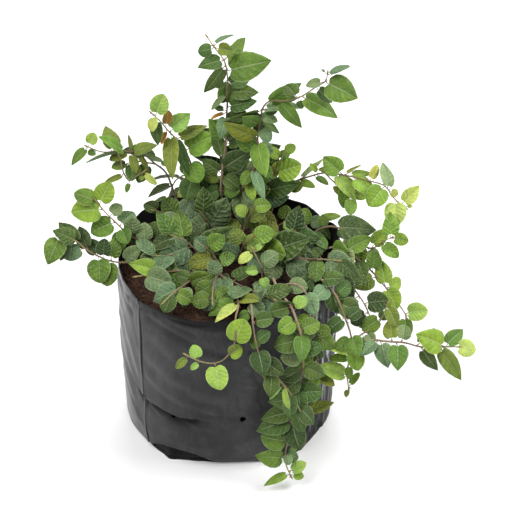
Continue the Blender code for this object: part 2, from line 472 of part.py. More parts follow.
def barrel(levels, closed_top):
    """A cylinder with a ring of corners at each level, ready to be moved to its outline."""
    bm = bmesh.new()
    bmesh.ops.create_cone(bm, cap_ends=True, segments=BAG_SIDES, radius1=1, radius2=1, depth=1)
    uprights = [edge for edge in bm.edges if abs(edge.verts[0].co.z - edge.verts[1].co.z) > 0.5]
    bmesh.ops.subdivide_edges(bm, edges=uprights, cuts=levels - 2, use_grid_fill=True)
    if not closed_top:
        lid = [face for face in bm.faces if all(v.co.z > 0.49 for v in face.verts)]
        bmesh.ops.delete(bm, geom=lid, context="FACES_ONLY")
    return bm


def shape_barrel(bm, levels, place):
    """Moves each corner of a barrel to the point that place gives, with every quad split alike."""
    for vert in bm.verts:
        angle = math.degrees(math.atan2(vert.co.y, vert.co.x))
        level = round((vert.co.z + 0.5) * (levels - 1))
        vert.co = place(angle, level)
    quads = [face for face in bm.faces if len(face.verts) == 4]
    bmesh.ops.triangulate(bm, faces=quads, quad_method="FIXED")


def build_bag(parts, cutters):
    """The grow bag: an open shell of film with drain holes punched low in its wall."""
    levels = len(WALL_LEVELS) + 2

    def place(angle, level):
        if level == 0:
            return polar(angle, wall_radius(angle, WALL_LEVELS[0]) - FOOT_ROUNDING, 0)
        height = rim_height(angle) if level == levels - 1 else WALL_LEVELS[level - 1]
        return polar(angle, wall_radius(angle, height), height)

    bm = barrel(levels, closed_top=False)
    shape_barrel(bm, levels, place)
    bag = new_object("bag", mesh_from(bm, "bag"), parts)
    wall = bag.modifiers.new("film", "SOLIDIFY")
    wall.thickness = FILM
    wall.offset = -1
    wall.use_even_offset = True
    punched = bag.modifiers.new("drain holes", "BOOLEAN")
    punched.operation = "DIFFERENCE"
    punched.solver = "EXACT"
    punched.operand_type = "COLLECTION"
    punched.collection = cutters
    for angle in DRAIN_ANGLES:
        bm = bmesh.new()
        bmesh.ops.create_cone(bm, cap_ends=True, segments=DRAIN_SIDES, radius1=DRAIN_RADIUS,
                              radius2=DRAIN_RADIUS, depth=2 * DRAIN_REACH)
        punch = new_object("drain punch", mesh_from(bm, "drain punch"), cutters)
        punch.location = polar(angle, wall_radius(angle, DRAIN_HEIGHT), DRAIN_HEIGHT)
        punch.rotation_euler = (0, math.pi / 2, math.radians(angle))
        hide_tool(punch)
    bag.data.materials.append(material("black polythene", BAG_COLOUR, FILM_ROUGHNESS))


def hide_tool(cutter):
    """Leaves a cutter out of the finished model."""
    cutter.hide_render = True
    cutter.display_type = "WIRE"


def build_soil(parts, cutters):
    """The soil that fills the bag, with a plain hole for the foot of every shoot."""
    levels = len(WALL_LEVELS) + 1
    inset = FILM + SOIL_GAP
    chamfer = math.tan(math.pi / 8) * inset

    def place(angle, level):
        if level == 0:
            return polar(angle, wall_radius(angle, WALL_LEVELS[0]) - FOOT_ROUNDING - chamfer, inset)
        if level == levels - 1:
            edge = polar(angle, wall_radius(angle, WALL_LEVELS[-1]) - inset, 0)
            return Vector((edge.x, edge.y, soil_height(edge.x, edge.y)))
        height = WALL_LEVELS[level - 1] if level > 1 else FOOT_ROUNDING + chamfer
        return polar(angle, wall_radius(angle, height) - inset, height)

    bm = barrel(levels, closed_top=True)
    shape_barrel(bm, levels, place)
    top = max(bm.faces, key=lambda face: face.calc_center_median().z)
    for ring in SOIL_RINGS:
        bmesh.ops.inset_region(bm, faces=[top], thickness=ring)
    bmesh.ops.poke(bm, faces=[top])
    for vert in bm.verts:
        if vert.co.z > WALL_LEVELS[-2] + SOIL_GAP:
            vert.co.z = soil_height(vert.co.x, vert.co.y)
    bmesh.ops.triangulate(bm, faces=bm.faces[:])
    soil = new_object("soil", mesh_from(bm, "soil"), parts)
    drilled = soil.modifiers.new("stem holes", "BOOLEAN")
    drilled.operation = "DIFFERENCE"
    drilled.solver = "EXACT"
    drilled.operand_type = "COLLECTION"
    drilled.collection = cutters
    for shoot in SHOOTS:
        if shoot.name != shoot.node:
            continue
        foot = Vector(shoot.route[0]) * MM
        bore = shoot.radius * MM / math.cos(math.pi / HOLE_SIDES) + HOLE_CLEARANCE
        bm = bmesh.new()
        bmesh.ops.create_cone(bm, cap_ends=True, segments=HOLE_SIDES, radius1=bore, radius2=bore,
                              depth=HOLE_TOP - HOLE_BOTTOM)
        drill = new_object("stem drill", mesh_from(bm, "stem drill"), cutters)
        drill.location = (foot.x, foot.y, (HOLE_TOP + HOLE_BOTTOM) / 2)
        hide_tool(drill)
    soil.data.materials.append(material("coir soil", SOIL_COLOUR, SOIL_ROUGHNESS))


def smooth_path(route):
    """Points of a smooth curve through the route's own points, about a step apart, in metres."""
    points = [Vector(point) * MM for point in route]
    ends = [2 * points[0] - points[1], *points, 2 * points[-1] - points[-2]]
    path = [points[0]]
    for a, b, c, d in zip(ends, ends[1:], ends[2:], ends[3:]):
        count = max(1, round((c - b).length / STEM_STEP))
        for step in range(1, count + 1):
            t = step / count
            path.append(0.5 * (2 * b + (c - a) * t + (2 * a - 5 * b + 4 * c - d) * t * t
                               + (3 * b - a - 3 * c + d) * t ** 3))
    return path


def stem_radii(shoot, path):
    """Radius at each point of a stem, thinning to the tip."""
    last = len(path) - 1
    thick = shoot.radius * MM
    return [thick + (STEM_TIP - thick) * (i / last) ** STEM_THINNING for i in range(last + 1)]


def along_path(path, distance):
    """The point and the direction of a path at a distance from its start."""
    for a, b in zip(path, path[1:]):
        step = (b - a).length
        if distance <= step:
            return a + (b - a) * (distance / step), (b - a).normalized()
        distance -= step
    return path[-1].copy(), (path[-1] - path[-2]).normalized()


def blade_pattern(count):
    """A fan with a plain triangle at its root, extruded to a slab: each corner's place, and polygons."""
    bm = bmesh.new()
    bmesh.ops.create_circle(bm, cap_ends=True, cap_tris=True, segments=count, radius=1)
    middle = min(bm.verts, key=lambda vert: vert.co.length)
    root = min(bm.verts, key=lambda vert: vert.co.y)
    spoke = next(edge for edge in root.link_edges if middle in edge.verts)
    bmesh.ops.rotate_edges(bm, edges=[spoke])
    bmesh.ops.recalc_face_normals(bm, faces=bm.faces[:])
    top = bmesh.ops.extrude_face_region(bm, geom=bm.faces[:])["geom"]
    bmesh.ops.translate(bm, verts=[v for v in top if isinstance(v, bmesh.types.BMVert)], vec=(0, 0, 1))
    bmesh.ops.recalc_face_normals(bm, faces=bm.faces[:])
    corners = []
    for vert in bm.verts:
        turn = math.atan2(vert.co.y, vert.co.x) / TURN - 0.25
        corners.append((None if vert.co.xy.length < 0.5 else round(turn * count) % count, vert.co.z))
    polygons = [[vert.index for vert in face.verts] for face in bm.faces]
    bm.free()
    return corners, polygons


def blade_outline(leaf, points):
    """The blade's rim from its tip round to its tip, as (distance from the stem, distance across)."""
    rim = [(leaf.stalk + leaf.length, 0.0)]
    rim += [(leaf.stalk + u * leaf.length, v * leaf.half_width) for u, v in points]
    rim.append((0.0, 0.0))
    rim += [(u, -v) for u, v in reversed(rim[1:-1])]
    return rim


def blade_point(leaf, u, v, height):
    """A point of the blade: raised by its fold away from the midrib, and lowered towards its tip."""
    out = max(0.0, u - leaf.stalk)
    rise = leaf.fold * abs(v) - leaf.droop * out * out / leaf.length + height
    across = leaf.normal.cross(leaf.along)
    return leaf.root + leaf.along * u + across * v + leaf.normal * rise


PATTERNS = {}


def blade_solid(leaf, margin=0.0):
    """Corners and polygons of a leaf's closed solid, grown by a margin on every side."""
    points = LARGE_OUTLINE if leaf.length >= LARGE_BLADE else SMALL_OUTLINE
    rim = blade_outline(leaf, points)
    if len(rim) not in PATTERNS:
        PATTERNS[len(rim)] = blade_pattern(len(rim))
    corners, polygons = PATTERNS[len(rim)]
    middle = leaf.stalk + BLADE_MIDDLE * leaf.length
    solid = []
    for place, level in corners:
        u, v = (middle, 0.0) if place is None else rim[place]
        u += math.copysign(margin, u - middle) if place is not None and u > 0 else 0.0
        v += math.copysign(margin, v) if v else 0.0
        height = (level - 0.5) * (BLADE_THICKNESS + 2 * margin)
        solid.append(blade_point(leaf, u, v, height))
    return solid, polygons


def stem_solid(path, radii, margin=0.0):
    """Corners and polygons of a square sleeve round a stem."""
    solid = []
    for i, point in enumerate(path):
        ahead = (path[min(i + 1, len(path) - 1)] - path[max(i - 1, 0)]).normalized()
        side = ahead.orthogonal().normalized()
        other = ahead.cross(side)
        reach = radii[i] + margin
        solid += [point + side * reach, point + other * reach, point - side * reach, point - other * reach]
    polygons = [[4 * i + k, 4 * i + (k + 1) % 4, 4 * i + 4 + (k + 1) % 4, 4 * i + 4 + k]
                for i in range(len(path) - 1) for k in range(4)]
    return solid, polygons


class Crowd:
    """All that has its place already, so that the next leaf can be turned clear of it."""

    def __init__(self):
        self.stems = []
        self.leaves = []

    def add_stem(self, node, solid, polygons):
        """Keeps a stem's sleeve with the node that it belongs to."""
        self.stems.append((node, BVHTree.FromPolygons(solid, polygons)))

    def add_leaf(self, leaf):
        """Keeps a placed leaf."""
        solid, polygons = blade_solid(leaf)
        reach = leaf.length + leaf.stalk
        self.leaves.append((leaf.root, reach, BVHTree.FromPolygons(solid, polygons)))

    def clear(self, leaf, own_node):
        """Whether a leaf misses the floor, bag, soil, other nodes' stems and all placed leaves."""
        solid, polygons = blade_solid(leaf, CLEARANCE)
        if not pot_is_clear(leaf):
            return False
        tree = BVHTree.FromPolygons(solid, polygons)
        reach = leaf.length + leaf.stalk
        for root, other_reach, other in self.leaves:
            if (root - leaf.root).length < reach + other_reach and tree.overlap(other):
                return False
        return not any(node != own_node and tree.overlap(other) for node, other in self.stems)


def pot_is_clear(leaf):
    """Whether points all over a leaf stay off the floor, the film and the soil."""
    for i in range(1, ROOM_CHECKS_ALONG + 1):
        u = leaf.stalk + leaf.length * i / ROOM_CHECKS_ALONG
        for v in ROOM_CHECKS_ACROSS:
            point = blade_point(leaf, u, v * leaf.half_width, 0)
            if point.z < FLOOR_ROOM:
                return False
            angle = math.degrees(math.atan2(point.y, point.x))
            distance = math.hypot(point.x, point.y) - wall_radius(angle, max(0.0, point.z))
            if abs(distance) < FILM_ROOM and point.z < rim_height(angle) + RIM_ROOM:
                return False
            if distance < 0 and point.z < soil_height(point.x, point.y) + SOIL_ROOM:
                return False
    return True


def aim_leaf(shoot, draw, root, ahead, side, size, angle, lift):
    """A leaf of one size, at an angle from its stem and lifted out of the plane of the shoot."""
    face = Vector(shoot.habit.face)
    face = (face - ahead * face.dot(ahead)).normalized()
    across = ahead.cross(face) * side
    along = ahead * math.cos(math.radians(angle)) + across * math.sin(math.radians(angle))
    along = along * math.cos(math.radians(lift)) + face * math.sin(math.radians(lift))
    along.z -= draw["sag"]
    along.normalize()
    normal = face * BLADE_FACE_SHARE + UP * BLADE_UP_SHARE + draw["tilt"]
    normal = (normal - along * normal.dot(along)).normalized()
    return Leaf(root, along, normal, size, size * draw["shape"], STALK_LENGTH + STALK_SHARE * size,
                draw["fold"], draw["droop"])


def place_leaf(shoot, count, crowd, root, ahead, side, size, angle):
    """The first leaf of a fixed list of turns and sizes that is clear of all else, or None."""
    seeded = random.Random(f"{shoot.name} {count}")
    draw = {
        "sag": seeded.uniform(*SAG),
        "tilt": Vector([seeded.uniform(*TILT) for _ in range(3)]),
        "shape": seeded.uniform(*HALF_WIDTH),
        "fold": seeded.uniform(*FOLD),
        "droop": seeded.uniform(*DROOP),
    }
    angle += seeded.uniform(*TURN_OF_LEAF)
    lift = seeded.uniform(*LIFT)
    for scale in TRIED_SCALES:
        for more_lift in TRIED_LIFTS:
            for more_angle in TRIED_ANGLES:
                leaf = aim_leaf(shoot, draw, root, ahead, side, size * scale, angle + more_angle,
                                lift + more_lift)
                if crowd.clear(leaf, shoot.node):
                    return leaf
    return None


def nudge_leaf(shoot, count, crowd, path, row):
    """A set leaf at its own place, or changed by the least that makes it clear, or None."""
    seeded = random.Random(f"{shoot.name} {count}")
    fold = seeded.uniform(*FOLD)
    droop = seeded.uniform(*DROOP)
    distance, heading, rise, roll, length, width = row
    along = Vector((1, 0, 0))
    along.rotate(Euler((0, -math.radians(rise), math.radians(heading))))
    upper = (UP - along * along.z).normalized()
    normal = Quaternion(along, math.radians(roll)) @ upper
    for (scale, _), (turn, _), (lift, _), (shift, _) in NUDGES:
        root, _ = along_path(path, (distance + shift) * MM)
        ahead = Quaternion(normal, math.radians(turn)) @ along
        raised = Quaternion(ahead.cross(normal), math.radians(lift))
        size = length * MM * scale
        leaf = Leaf(root, raised @ ahead, raised @ normal, size, width * MM * scale / 2,
                    STALK_LENGTH + STALK_SHARE * size, fold, droop)
        if crowd.clear(leaf, shoot.node):
            return leaf
    return None


def set_leaves(shoot, path, crowd):
    """The leaves that are set one by one along a stem."""
    leaves = []
    for count, row in enumerate(shoot.leaves):
        leaf = nudge_leaf(shoot, count, crowd, path, row)
        if leaf:
            leaves.append(leaf)
            crowd.add_leaf(leaf)
    return leaves


def grow_leaves(shoot, path, crowd):
    """Alternate leaves in two ranks along a stem, smaller near its tip, with one at the tip."""
    habit = shoot.habit
    total = sum((b - a).length for a, b in zip(path, path[1:]))
    distance = habit.bare * MM
    side = habit.side
    leaves = []
    count = 0
    while distance < total:
        seeded = random.Random(f"{shoot.name} gap {count}")
        to_tip = min(1.0, (total - distance) / YOUNG_STEM)
        size = habit.leaf * MM * (TIP_SIZE + (1 - TIP_SIZE) * to_tip) * seeded.uniform(*SIZE)
        spread = habit.spread * (TIP_SPREAD + (1 - TIP_SPREAD) * to_tip)
        root, ahead = along_path(path, distance)
        leaf = place_leaf(shoot, count, crowd, root, ahead, side, size, spread)
        if leaf:
            leaves.append(leaf)
            crowd.add_leaf(leaf)
        distance += habit.gap * MM * seeded.uniform(*GAP) * (TIP_GAP + (1 - TIP_GAP) * to_tip)
        side = -side
        count += 1
    root, ahead = along_path(path, total - END_LEAF_SETBACK)
    size = habit.leaf * MM * END_LEAF_SIZE
    leaf = place_leaf(shoot, count, crowd, root, ahead, side, size, END_LEAF_ANGLE)
    if leaf:
        leaves.append(leaf)
        crowd.add_leaf(leaf)
    return leaves


def build_stem(shoot, path, radii, collection):
    """A stem as a tube with few sides, made a mesh so that its leaves can be joined to it."""
    curve = bpy.data.curves.new(shoot.name, "CURVE")
    curve.dimensions = "3D"
    curve.bevel_depth = 1.0
    curve.bevel_resolution = 0
    curve.use_fill_caps = True
    spline = curve.splines.new("POLY")
    spline.points.add(len(path) - 1)
    for point, place, radius in zip(spline.points, path, radii):
        point.co = (*place, 1)
        point.radius = radius
    tube = new_object(shoot.name, curve, collection)
    mesh = evaluated_mesh(tube)
    bm = bmesh.new()
    bm.from_mesh(mesh)
    bmesh.ops.remove_doubles(bm, verts=bm.verts[:], dist=STEM_WELD)
    stem = new_object(shoot.name, mesh_from(bm, shoot.name), collection)
    stem.matrix_world = tube.matrix_world
    bpy.data.objects.remove(tube)
    return stem


def build_leaf(leaf, name, collection):
    """A leaf's solid as an object of its own, to be joined to its stem."""
    solid, polygons = blade_solid(leaf)
    mesh = bpy.data.meshes.new(name)
    mesh.from_pydata(solid, [], polygons)
    return new_object(name, mesh, collection)


def keep_largest(mesh):
    """Drops the scraps that hang on to nothing."""
    bm = bmesh.new()
    bm.from_mesh(mesh)
    left = set(bm.verts)
    bodies = []
    while left:
        front = [left.pop()]
        body = list(front)
        while front:
            vert = front.pop()
            for edge in vert.link_edges:
                other = edge.other_vert(vert)
                if other in left:
                    left.remove(other)
                    front.append(other)
                    body.append(other)
        bodies.append(body)
    bodies.sort(key=len)
    for body in bodies[:-1]:
        bmesh.ops.delete(bm, geom=body, context="VERTS")
    bm.to_mesh(mesh)
    bm.free()


def join_shoot(node, stems, leaves, parts, workbench):
    """One solid from a node's stems and leaves."""
    base = stems[0]
    for stem in stems[1:]:
        workbench.objects.link(stem)
    for number, leaf in enumerate(leaves):
        build_leaf(leaf, f"{node} leaf {number}", workbench)
    union = base.modifiers.new("leaves", "BOOLEAN")
    union.operation = "UNION"
    union.solver = "MANIFOLD"
    union.operand_type = "COLLECTION"
    union.collection = workbench
    joined = evaluated_mesh(base)
    keep_largest(joined)
    for used in list(workbench.objects):
        bpy.data.objects.remove(used)
    bpy.data.objects.remove(base)
    joined.name = node
    return new_object(node, joined, parts)


def build_shoots(parts, stem_store, workbench):
    """Every node of stems and leaves, each leaf turned clear of all that was placed before it."""
    crowd = Crowd()
    paths = {}
    stems = {}
    for shoot in SHOOTS:
        path = smooth_path(shoot.route)
        radii = stem_radii(shoot, path)
        paths[shoot.name] = path
        crowd.add_stem(shoot.node, *stem_solid(path, radii, CLEARANCE))
        stems.setdefault(shoot.node, []).append(build_stem(shoot, path, radii, stem_store))
    leaves = {}
    for shoot in sorted(SHOOTS, key=lambda shoot: not shoot.leaves):
        place = set_leaves if shoot.leaves else grow_leaves
        leaves.setdefault(shoot.node, []).extend(place(shoot, paths[shoot.name], crowd))
    colours = {shoot.node: shoot.colour for shoot in reversed(SHOOTS)}
    for node, made in stems.items():
        solid = join_shoot(node, made, leaves[node], parts, workbench)
        solid.data.materials.clear()
        solid.data.materials.append(material(f"{node} leaves", colours[node], LEAF_ROUGHNESS))
    return leaves


def collection_named(name):
    """A new collection in the scene."""
    made = bpy.data.collections.new(name)
    bpy.context.scene.collection.children.link(made)
    return made


def main():
    """Clears the scene and models the plant in its bag."""
    for old in list(bpy.data.objects):
        bpy.data.objects.remove(old)
    parts = collection_named("creeping fig")
    bag_cutters = collection_named("bag cutters")
    soil_cutters = collection_named("soil cutters")
    stem_store = collection_named("stems")
    workbench = collection_named("workbench")
    build_bag(parts, bag_cutters)
    build_soil(parts, soil_cutters)
    leaves = build_shoots(parts, stem_store, workbench)
    for used in (stem_store, workbench):
        bpy.data.collections.remove(used)
    return leaves


if __name__ == "__main__":
    main()
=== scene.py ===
"""Creeping fig in a black film grow bag: the fine looks of the part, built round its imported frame.

Lengths are in metres, +Z is up, and the origin is under the middle of the bag. The routes of stems
and the creases of the film are listed in millimetres, and angles are in degrees.
"""

import itertools
import json
import logging
import math
import random
from dataclasses import dataclass, field
from enum import Enum
from typing import Any

import bpy
import numpy as np
from bpy.types import ColorRamp, Material, Node, NodeSocket, Object
from mathutils import Euler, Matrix, Quaternion, Vector, noise
from mathutils.bvhtree import BVHTree

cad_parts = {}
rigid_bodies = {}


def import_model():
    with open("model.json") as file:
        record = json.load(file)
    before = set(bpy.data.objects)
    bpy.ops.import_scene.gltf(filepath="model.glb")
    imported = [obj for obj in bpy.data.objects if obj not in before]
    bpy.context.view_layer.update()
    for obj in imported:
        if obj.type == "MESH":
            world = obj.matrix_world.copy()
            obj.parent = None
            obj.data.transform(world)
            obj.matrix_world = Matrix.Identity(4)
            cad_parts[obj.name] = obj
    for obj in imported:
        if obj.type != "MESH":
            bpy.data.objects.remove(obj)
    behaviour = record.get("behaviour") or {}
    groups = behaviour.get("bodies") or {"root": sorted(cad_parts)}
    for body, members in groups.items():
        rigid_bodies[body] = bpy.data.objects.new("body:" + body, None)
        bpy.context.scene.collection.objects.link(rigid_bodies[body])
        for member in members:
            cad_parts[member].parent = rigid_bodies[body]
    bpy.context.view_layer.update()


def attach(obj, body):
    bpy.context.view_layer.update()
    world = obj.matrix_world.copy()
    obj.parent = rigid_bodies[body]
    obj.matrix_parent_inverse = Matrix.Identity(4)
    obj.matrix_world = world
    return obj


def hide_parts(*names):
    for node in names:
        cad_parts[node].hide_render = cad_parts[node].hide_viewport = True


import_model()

LOG = logging.getLogger("creeping fig")
MM = 0.001
UP = Vector((0, 0, 1))
BODY = "root"


class Workshop:
    """Short names for the operators that every piece is modelled with."""

    @staticmethod
    def deselect() -> None:
        """Leaves nothing selected, so that an operator acts on the new piece alone."""
        for other in bpy.context.view_layer.objects:
            other.select_set(False)

    @staticmethod
    def select(*pieces: Object) -> None:
        """Selects these pieces alone, with the first as the active one."""
        Workshop.deselect()
        for piece in pieces:
            piece.select_set(True)
        bpy.context.view_layer.objects.active = pieces[0]

    @staticmethod
    def added(operator: Any, name: str, **sizes: Any) -> Object:
        """Adds a primitive.

        Args:
            operator: The primitive's operator.
            name: The new object's name.
            sizes: The operator's own settings.

        Returns:
            The new object, which is the active one.
        """
        Workshop.deselect()
        operator(**sizes)
        made = bpy.context.view_layer.objects.active
        made.name = name
        made.data.name = name
        return made

    @staticmethod
    def pick(piece: Object, kind: str, wanted: Any) -> None:
        """Opens a piece in edit mode with the wanted corners, edges or faces selected.

        Args:
            piece: The object.
            kind: VERT, EDGE or FACE.
            wanted: A test of a corner's place, an edge's two places or a face's middle and normal.
        """
        mesh = piece.data
        bpy.context.view_layer.objects.active = piece
        bpy.ops.object.mode_set(mode="EDIT")
        bpy.ops.mesh.select_mode(type=kind)
        bpy.ops.mesh.select_all(action="DESELECT")
        bpy.ops.object.mode_set(mode="OBJECT")
        if kind == "VERT":
            for vert in mesh.vertices:
                vert.select = wanted(vert.co)
        elif kind == "EDGE":
            for edge in mesh.edges:
                edge.select = wanted(*(mesh.vertices[i].co for i in edge.vertices))
        else:
            for face in mesh.polygons:
                face.select = wanted(face.center, face.normal)
        bpy.ops.object.mode_set(mode="EDIT")

    @staticmethod
    def close() -> None:
        """Goes back to object mode."""
        bpy.ops.object.mode_set(mode="OBJECT")

    @staticmethod
    def numbers(things: Any, key: str, width: int = 1, kind: type = np.int64) -> np.ndarray:
        """One property of all of a mesh's corners, loops or faces, as one long array."""
        found = np.empty(len(things) * width, dtype=kind)
        things.foreach_get(key, found)
        return found

    @staticmethod
    def places(piece: Object) -> np.ndarray:
        """The places of a mesh's corners, a row each."""
        return Workshop.numbers(piece.data.vertices, "co", 3, float).reshape(-1, 3)

    @staticmethod
    def move(piece: Object, places: np.ndarray) -> None:
        """Moves a mesh's corners to new places."""
        piece.data.vertices.foreach_set("co", np.ascontiguousarray(places, dtype=float).ravel())
        piece.data.update()

    @staticmethod
    def modify(piece: Object, kind: str, **settings: Any) -> None:
        """Adds one modifier and applies it.

        Args:
            piece: The object.
            kind: The modifier's type.
            settings: The modifier's own settings.
        """
        added = piece.modifiers.new(kind.lower(), kind)
        for key, value in settings.items():
            setattr(added, key, value)
        Workshop.select(piece)
        bpy.ops.object.modifier_apply(modifier=added.name)

    @staticmethod
    def smooth(piece: Object, degrees: float) -> None:
        """Shades a piece smooth but for edges sharper than an angle."""
        Workshop.select(piece)
        bpy.ops.object.shade_smooth_by_angle(angle=math.radians(degrees))

    @staticmethod
    def dress(piece: Object, material: Material) -> None:
        """Gives a piece one material."""
        piece.data.materials.clear()
        piece.data.materials.append(material)

    @staticmethod
    def settle(piece: Object, slot: str, *nodes: str) -> None:
        """Attaches a finished piece to its body and hides the nodes that it stands for.

        Args:
            piece: The object.
            slot: The material slot; not used.
            nodes: The CAD nodes that it replaces, if any.
        """
        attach(piece, BODY)
        if nodes:
            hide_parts(*nodes)
        LOG.info("%s: %d faces", piece.name, len(piece.data.polygons))


class Value:
    """A socket of numbers, so that shader sums are written as Python expressions."""

    def __init__(self, graph: "Graph", socket: NodeSocket) -> None:
        """Wraps a socket of a graph."""
        self.graph = graph
        self.socket = socket

    def _math(self, operation: str, *terms: Any) -> "Value":
        """One Math node on this value and others."""
        return self.graph.math(operation, *terms)

    def __add__(self, other: Any) -> "Value":
        """This value and another."""
        return self._math("ADD", self, other)

    __radd__ = __add__

    def __sub__(self, other: Any) -> "Value":
        """This value less another."""
        return self._math("SUBTRACT", self, other)

    def __rsub__(self, other: Any) -> "Value":
        """Another value less this one."""
        return self._math("SUBTRACT", other, self)

    def __mul__(self, other: Any) -> "Value":
        """This value times another."""
        return self._math("MULTIPLY", self, other)

    __rmul__ = __mul__

    def __abs__(self) -> "Value":
        """This value without its sign."""
        return self._math("ABSOLUTE", self)

    def fraction(self) -> "Value":
        """What is left of this value past its whole number."""
        return self._math("FRACT", self)

    def most(self, other: Any) -> "Value":
        """The greater of this value and another."""
        return self._math("MAXIMUM", self, other)

    def step(self, low: float, high: float) -> "Value":
        """A smooth step from 0 at low to 1 at high, or down where low is the greater."""
        made = self.graph.node("ShaderNodeMapRange", {"interpolation_type": "SMOOTHSTEP"},
                               {"Value": self, "From Min": low, "From Max": high})
        return Value(self.graph, made.outputs[0])


class Graph:
    """The node tree of one material while it is written."""

    def __init__(self, name: str) -> None:
        """Starts an empty material."""
        self.material = bpy.data.materials.new(name)
        self.material.use_nodes = True
        self.tree = self.material.node_tree
        self.tree.nodes.clear()

    def node(self, kind: str, settings: dict[str, Any], inputs: dict[Any, Any]) -> Node:
        """Adds any node.

        Args:
            kind: The node's type.
            settings: Its own settings, set first. A ramp's stops go under "stops".
            inputs: Values or links by the socket's name or number.

        Returns:
            The new node.
        """
        made = self.tree.nodes.new(kind)
        for key, value in settings.items():
            if key == "stops":
                self.set_stops(made.color_ramp, value)
            else:
                setattr(made, key, value)
        for key, value in inputs.items():
            if isinstance(value, Value):
                value = value.socket
            if isinstance(value, NodeSocket):
                self.tree.links.new(value, made.inputs[key])
            else:
                made.inputs[key].default_value = value
        return made

    @staticmethod
    def set_stops(ramp: ColorRamp, stops: tuple) -> None:
        """Sets a ramp's stops.

        Args:
            ramp: The ramp.
            stops: Pairs of a place from 0 to 1 and a colour.
        """
        while len(ramp.elements) < len(stops):
            ramp.elements.new(1.0)
        for element, (place, colour) in zip(ramp.elements, stops):
            element.position = place
            element.color = (*colour, 1)

    def math(self, operation: str, *terms: Any) -> Value:
        """A Math node's result on two values or fewer."""
        made = self.node("ShaderNodeMath", {"operation": operation}, dict(enumerate(terms)))
        return Value(self, made.outputs[0])

    def objects_place(self) -> NodeSocket:
        """Object coordinates, in metres."""
        return self.node("ShaderNodeTexCoord", {}, {}).outputs["Object"]

    def face_place(self, name: str) -> tuple[Value, Value, NodeSocket]:
        """A UV map's two numbers, and the map itself."""
        place = self.node("ShaderNodeUVMap", {"uv_map": name}, {}).outputs[0]
        parts = self.node("ShaderNodeSeparateXYZ", {}, {0: place}).outputs
        return Value(self, parts[0]), Value(self, parts[1]), place

    def round_the_middle(self, place: NodeSocket) -> tuple[Value, Value]:
        """The angle round the upright axis in degrees, and the height in metres."""
        x, y, z = (Value(self, part) for part in self.node("ShaderNodeSeparateXYZ", {}, {0: place}).outputs)
        return self.math("ARCTAN2", y, x) * math.degrees(1), z

    def attribute(self, name: str, output: str = "Color") -> Any:
        """A named attribute of the mesh, as a colour's socket or as a value."""
        found = self.node("ShaderNodeAttribute", {"attribute_name": name}, {}).outputs[output]
        return found if output == "Color" else Value(self, found)

    def stretched(self, place: NodeSocket, scale: tuple, turn: tuple = (0, 0, 0)) -> Any:
        """Coordinates stretched and turned, the turn in degrees."""
        return self.node("ShaderNodeMapping", {}, {
            "Vector": place, "Scale": scale, "Rotation": [math.radians(a) for a in turn],
        }).outputs[0]

    def noise(self, place: Any, scale: float, detail: float = 3, roughness: float = 0.55,
              distortion: float = 0.0) -> Value:
        """Noise from 0 to 1.

        Args:
            place: The coordinates.
            scale: How many lumps there are to a unit of length.
            detail: How many finer layers it has.
            roughness: How much the finer layers count.
            distortion: How far it is bent.

        Returns:
            The noise.
        """
        made = self.node("ShaderNodeTexNoise", {}, {
            "Vector": place, "Scale": scale, "Detail": detail, "Roughness": roughness,
            "Distortion": distortion,
        })
        return Value(self, made.outputs[0])

    def cells(self, place: Any, scale: float) -> Value:
        """Distance from the edges of a pattern of cells."""
        made = self.node("ShaderNodeTexVoronoi", {"feature": "DISTANCE_TO_EDGE"},
                         {"Vector": place, "Scale": scale})
        return Value(self, made.outputs["Distance"])

    def mix(self, share: Any, first: Any, second: Any, blend: str = "MIX") -> NodeSocket:
        """A mix of two colours, each a socket or three numbers."""
        first, second = ((*colour, 1) if isinstance(colour, tuple) else colour for colour in (first, second))
        return self.node("ShaderNodeMix", {"data_type": "RGBA", "blend_type": blend},
                         {0: share, 6: first, 7: second}).outputs[2]

    def ramp(self, value: Value, stops: tuple) -> NodeSocket:
        """A colour that goes through stops as a value goes from 0 to 1."""
        return self.node("ShaderNodeValToRGB", {"stops": stops}, {0: value}).outputs[0]

    def bump(self, height: Value, strength: float, distance: float) -> NodeSocket:
        """A normal raised by a height from 0 to 1 over a distance in metres."""
        return self.node("ShaderNodeBump", {}, {
            "Strength": strength, "Distance": distance, "Height": height,
        }).outputs[0]

    def finish(self, **inputs: Any) -> Material:
        """Ends the material in a Principled shader.

        Args:
            inputs: Its sockets by name, with _ for a space.

        Returns:
            The finished material.
        """
        named = {key.replace("_", " "): value for key, value in inputs.items()}
        shader = self.node("ShaderNodeBsdfPrincipled", {}, named)
        self.node("ShaderNodeOutputMaterial", {}, {0: shader.outputs[0]})
        return self.material


LEAF_MAP = "leaf_face"
TONE = "leaf_tone"
AGE = "stem_age"
FILM_PAINTED_LIGHT = "film_sheen"


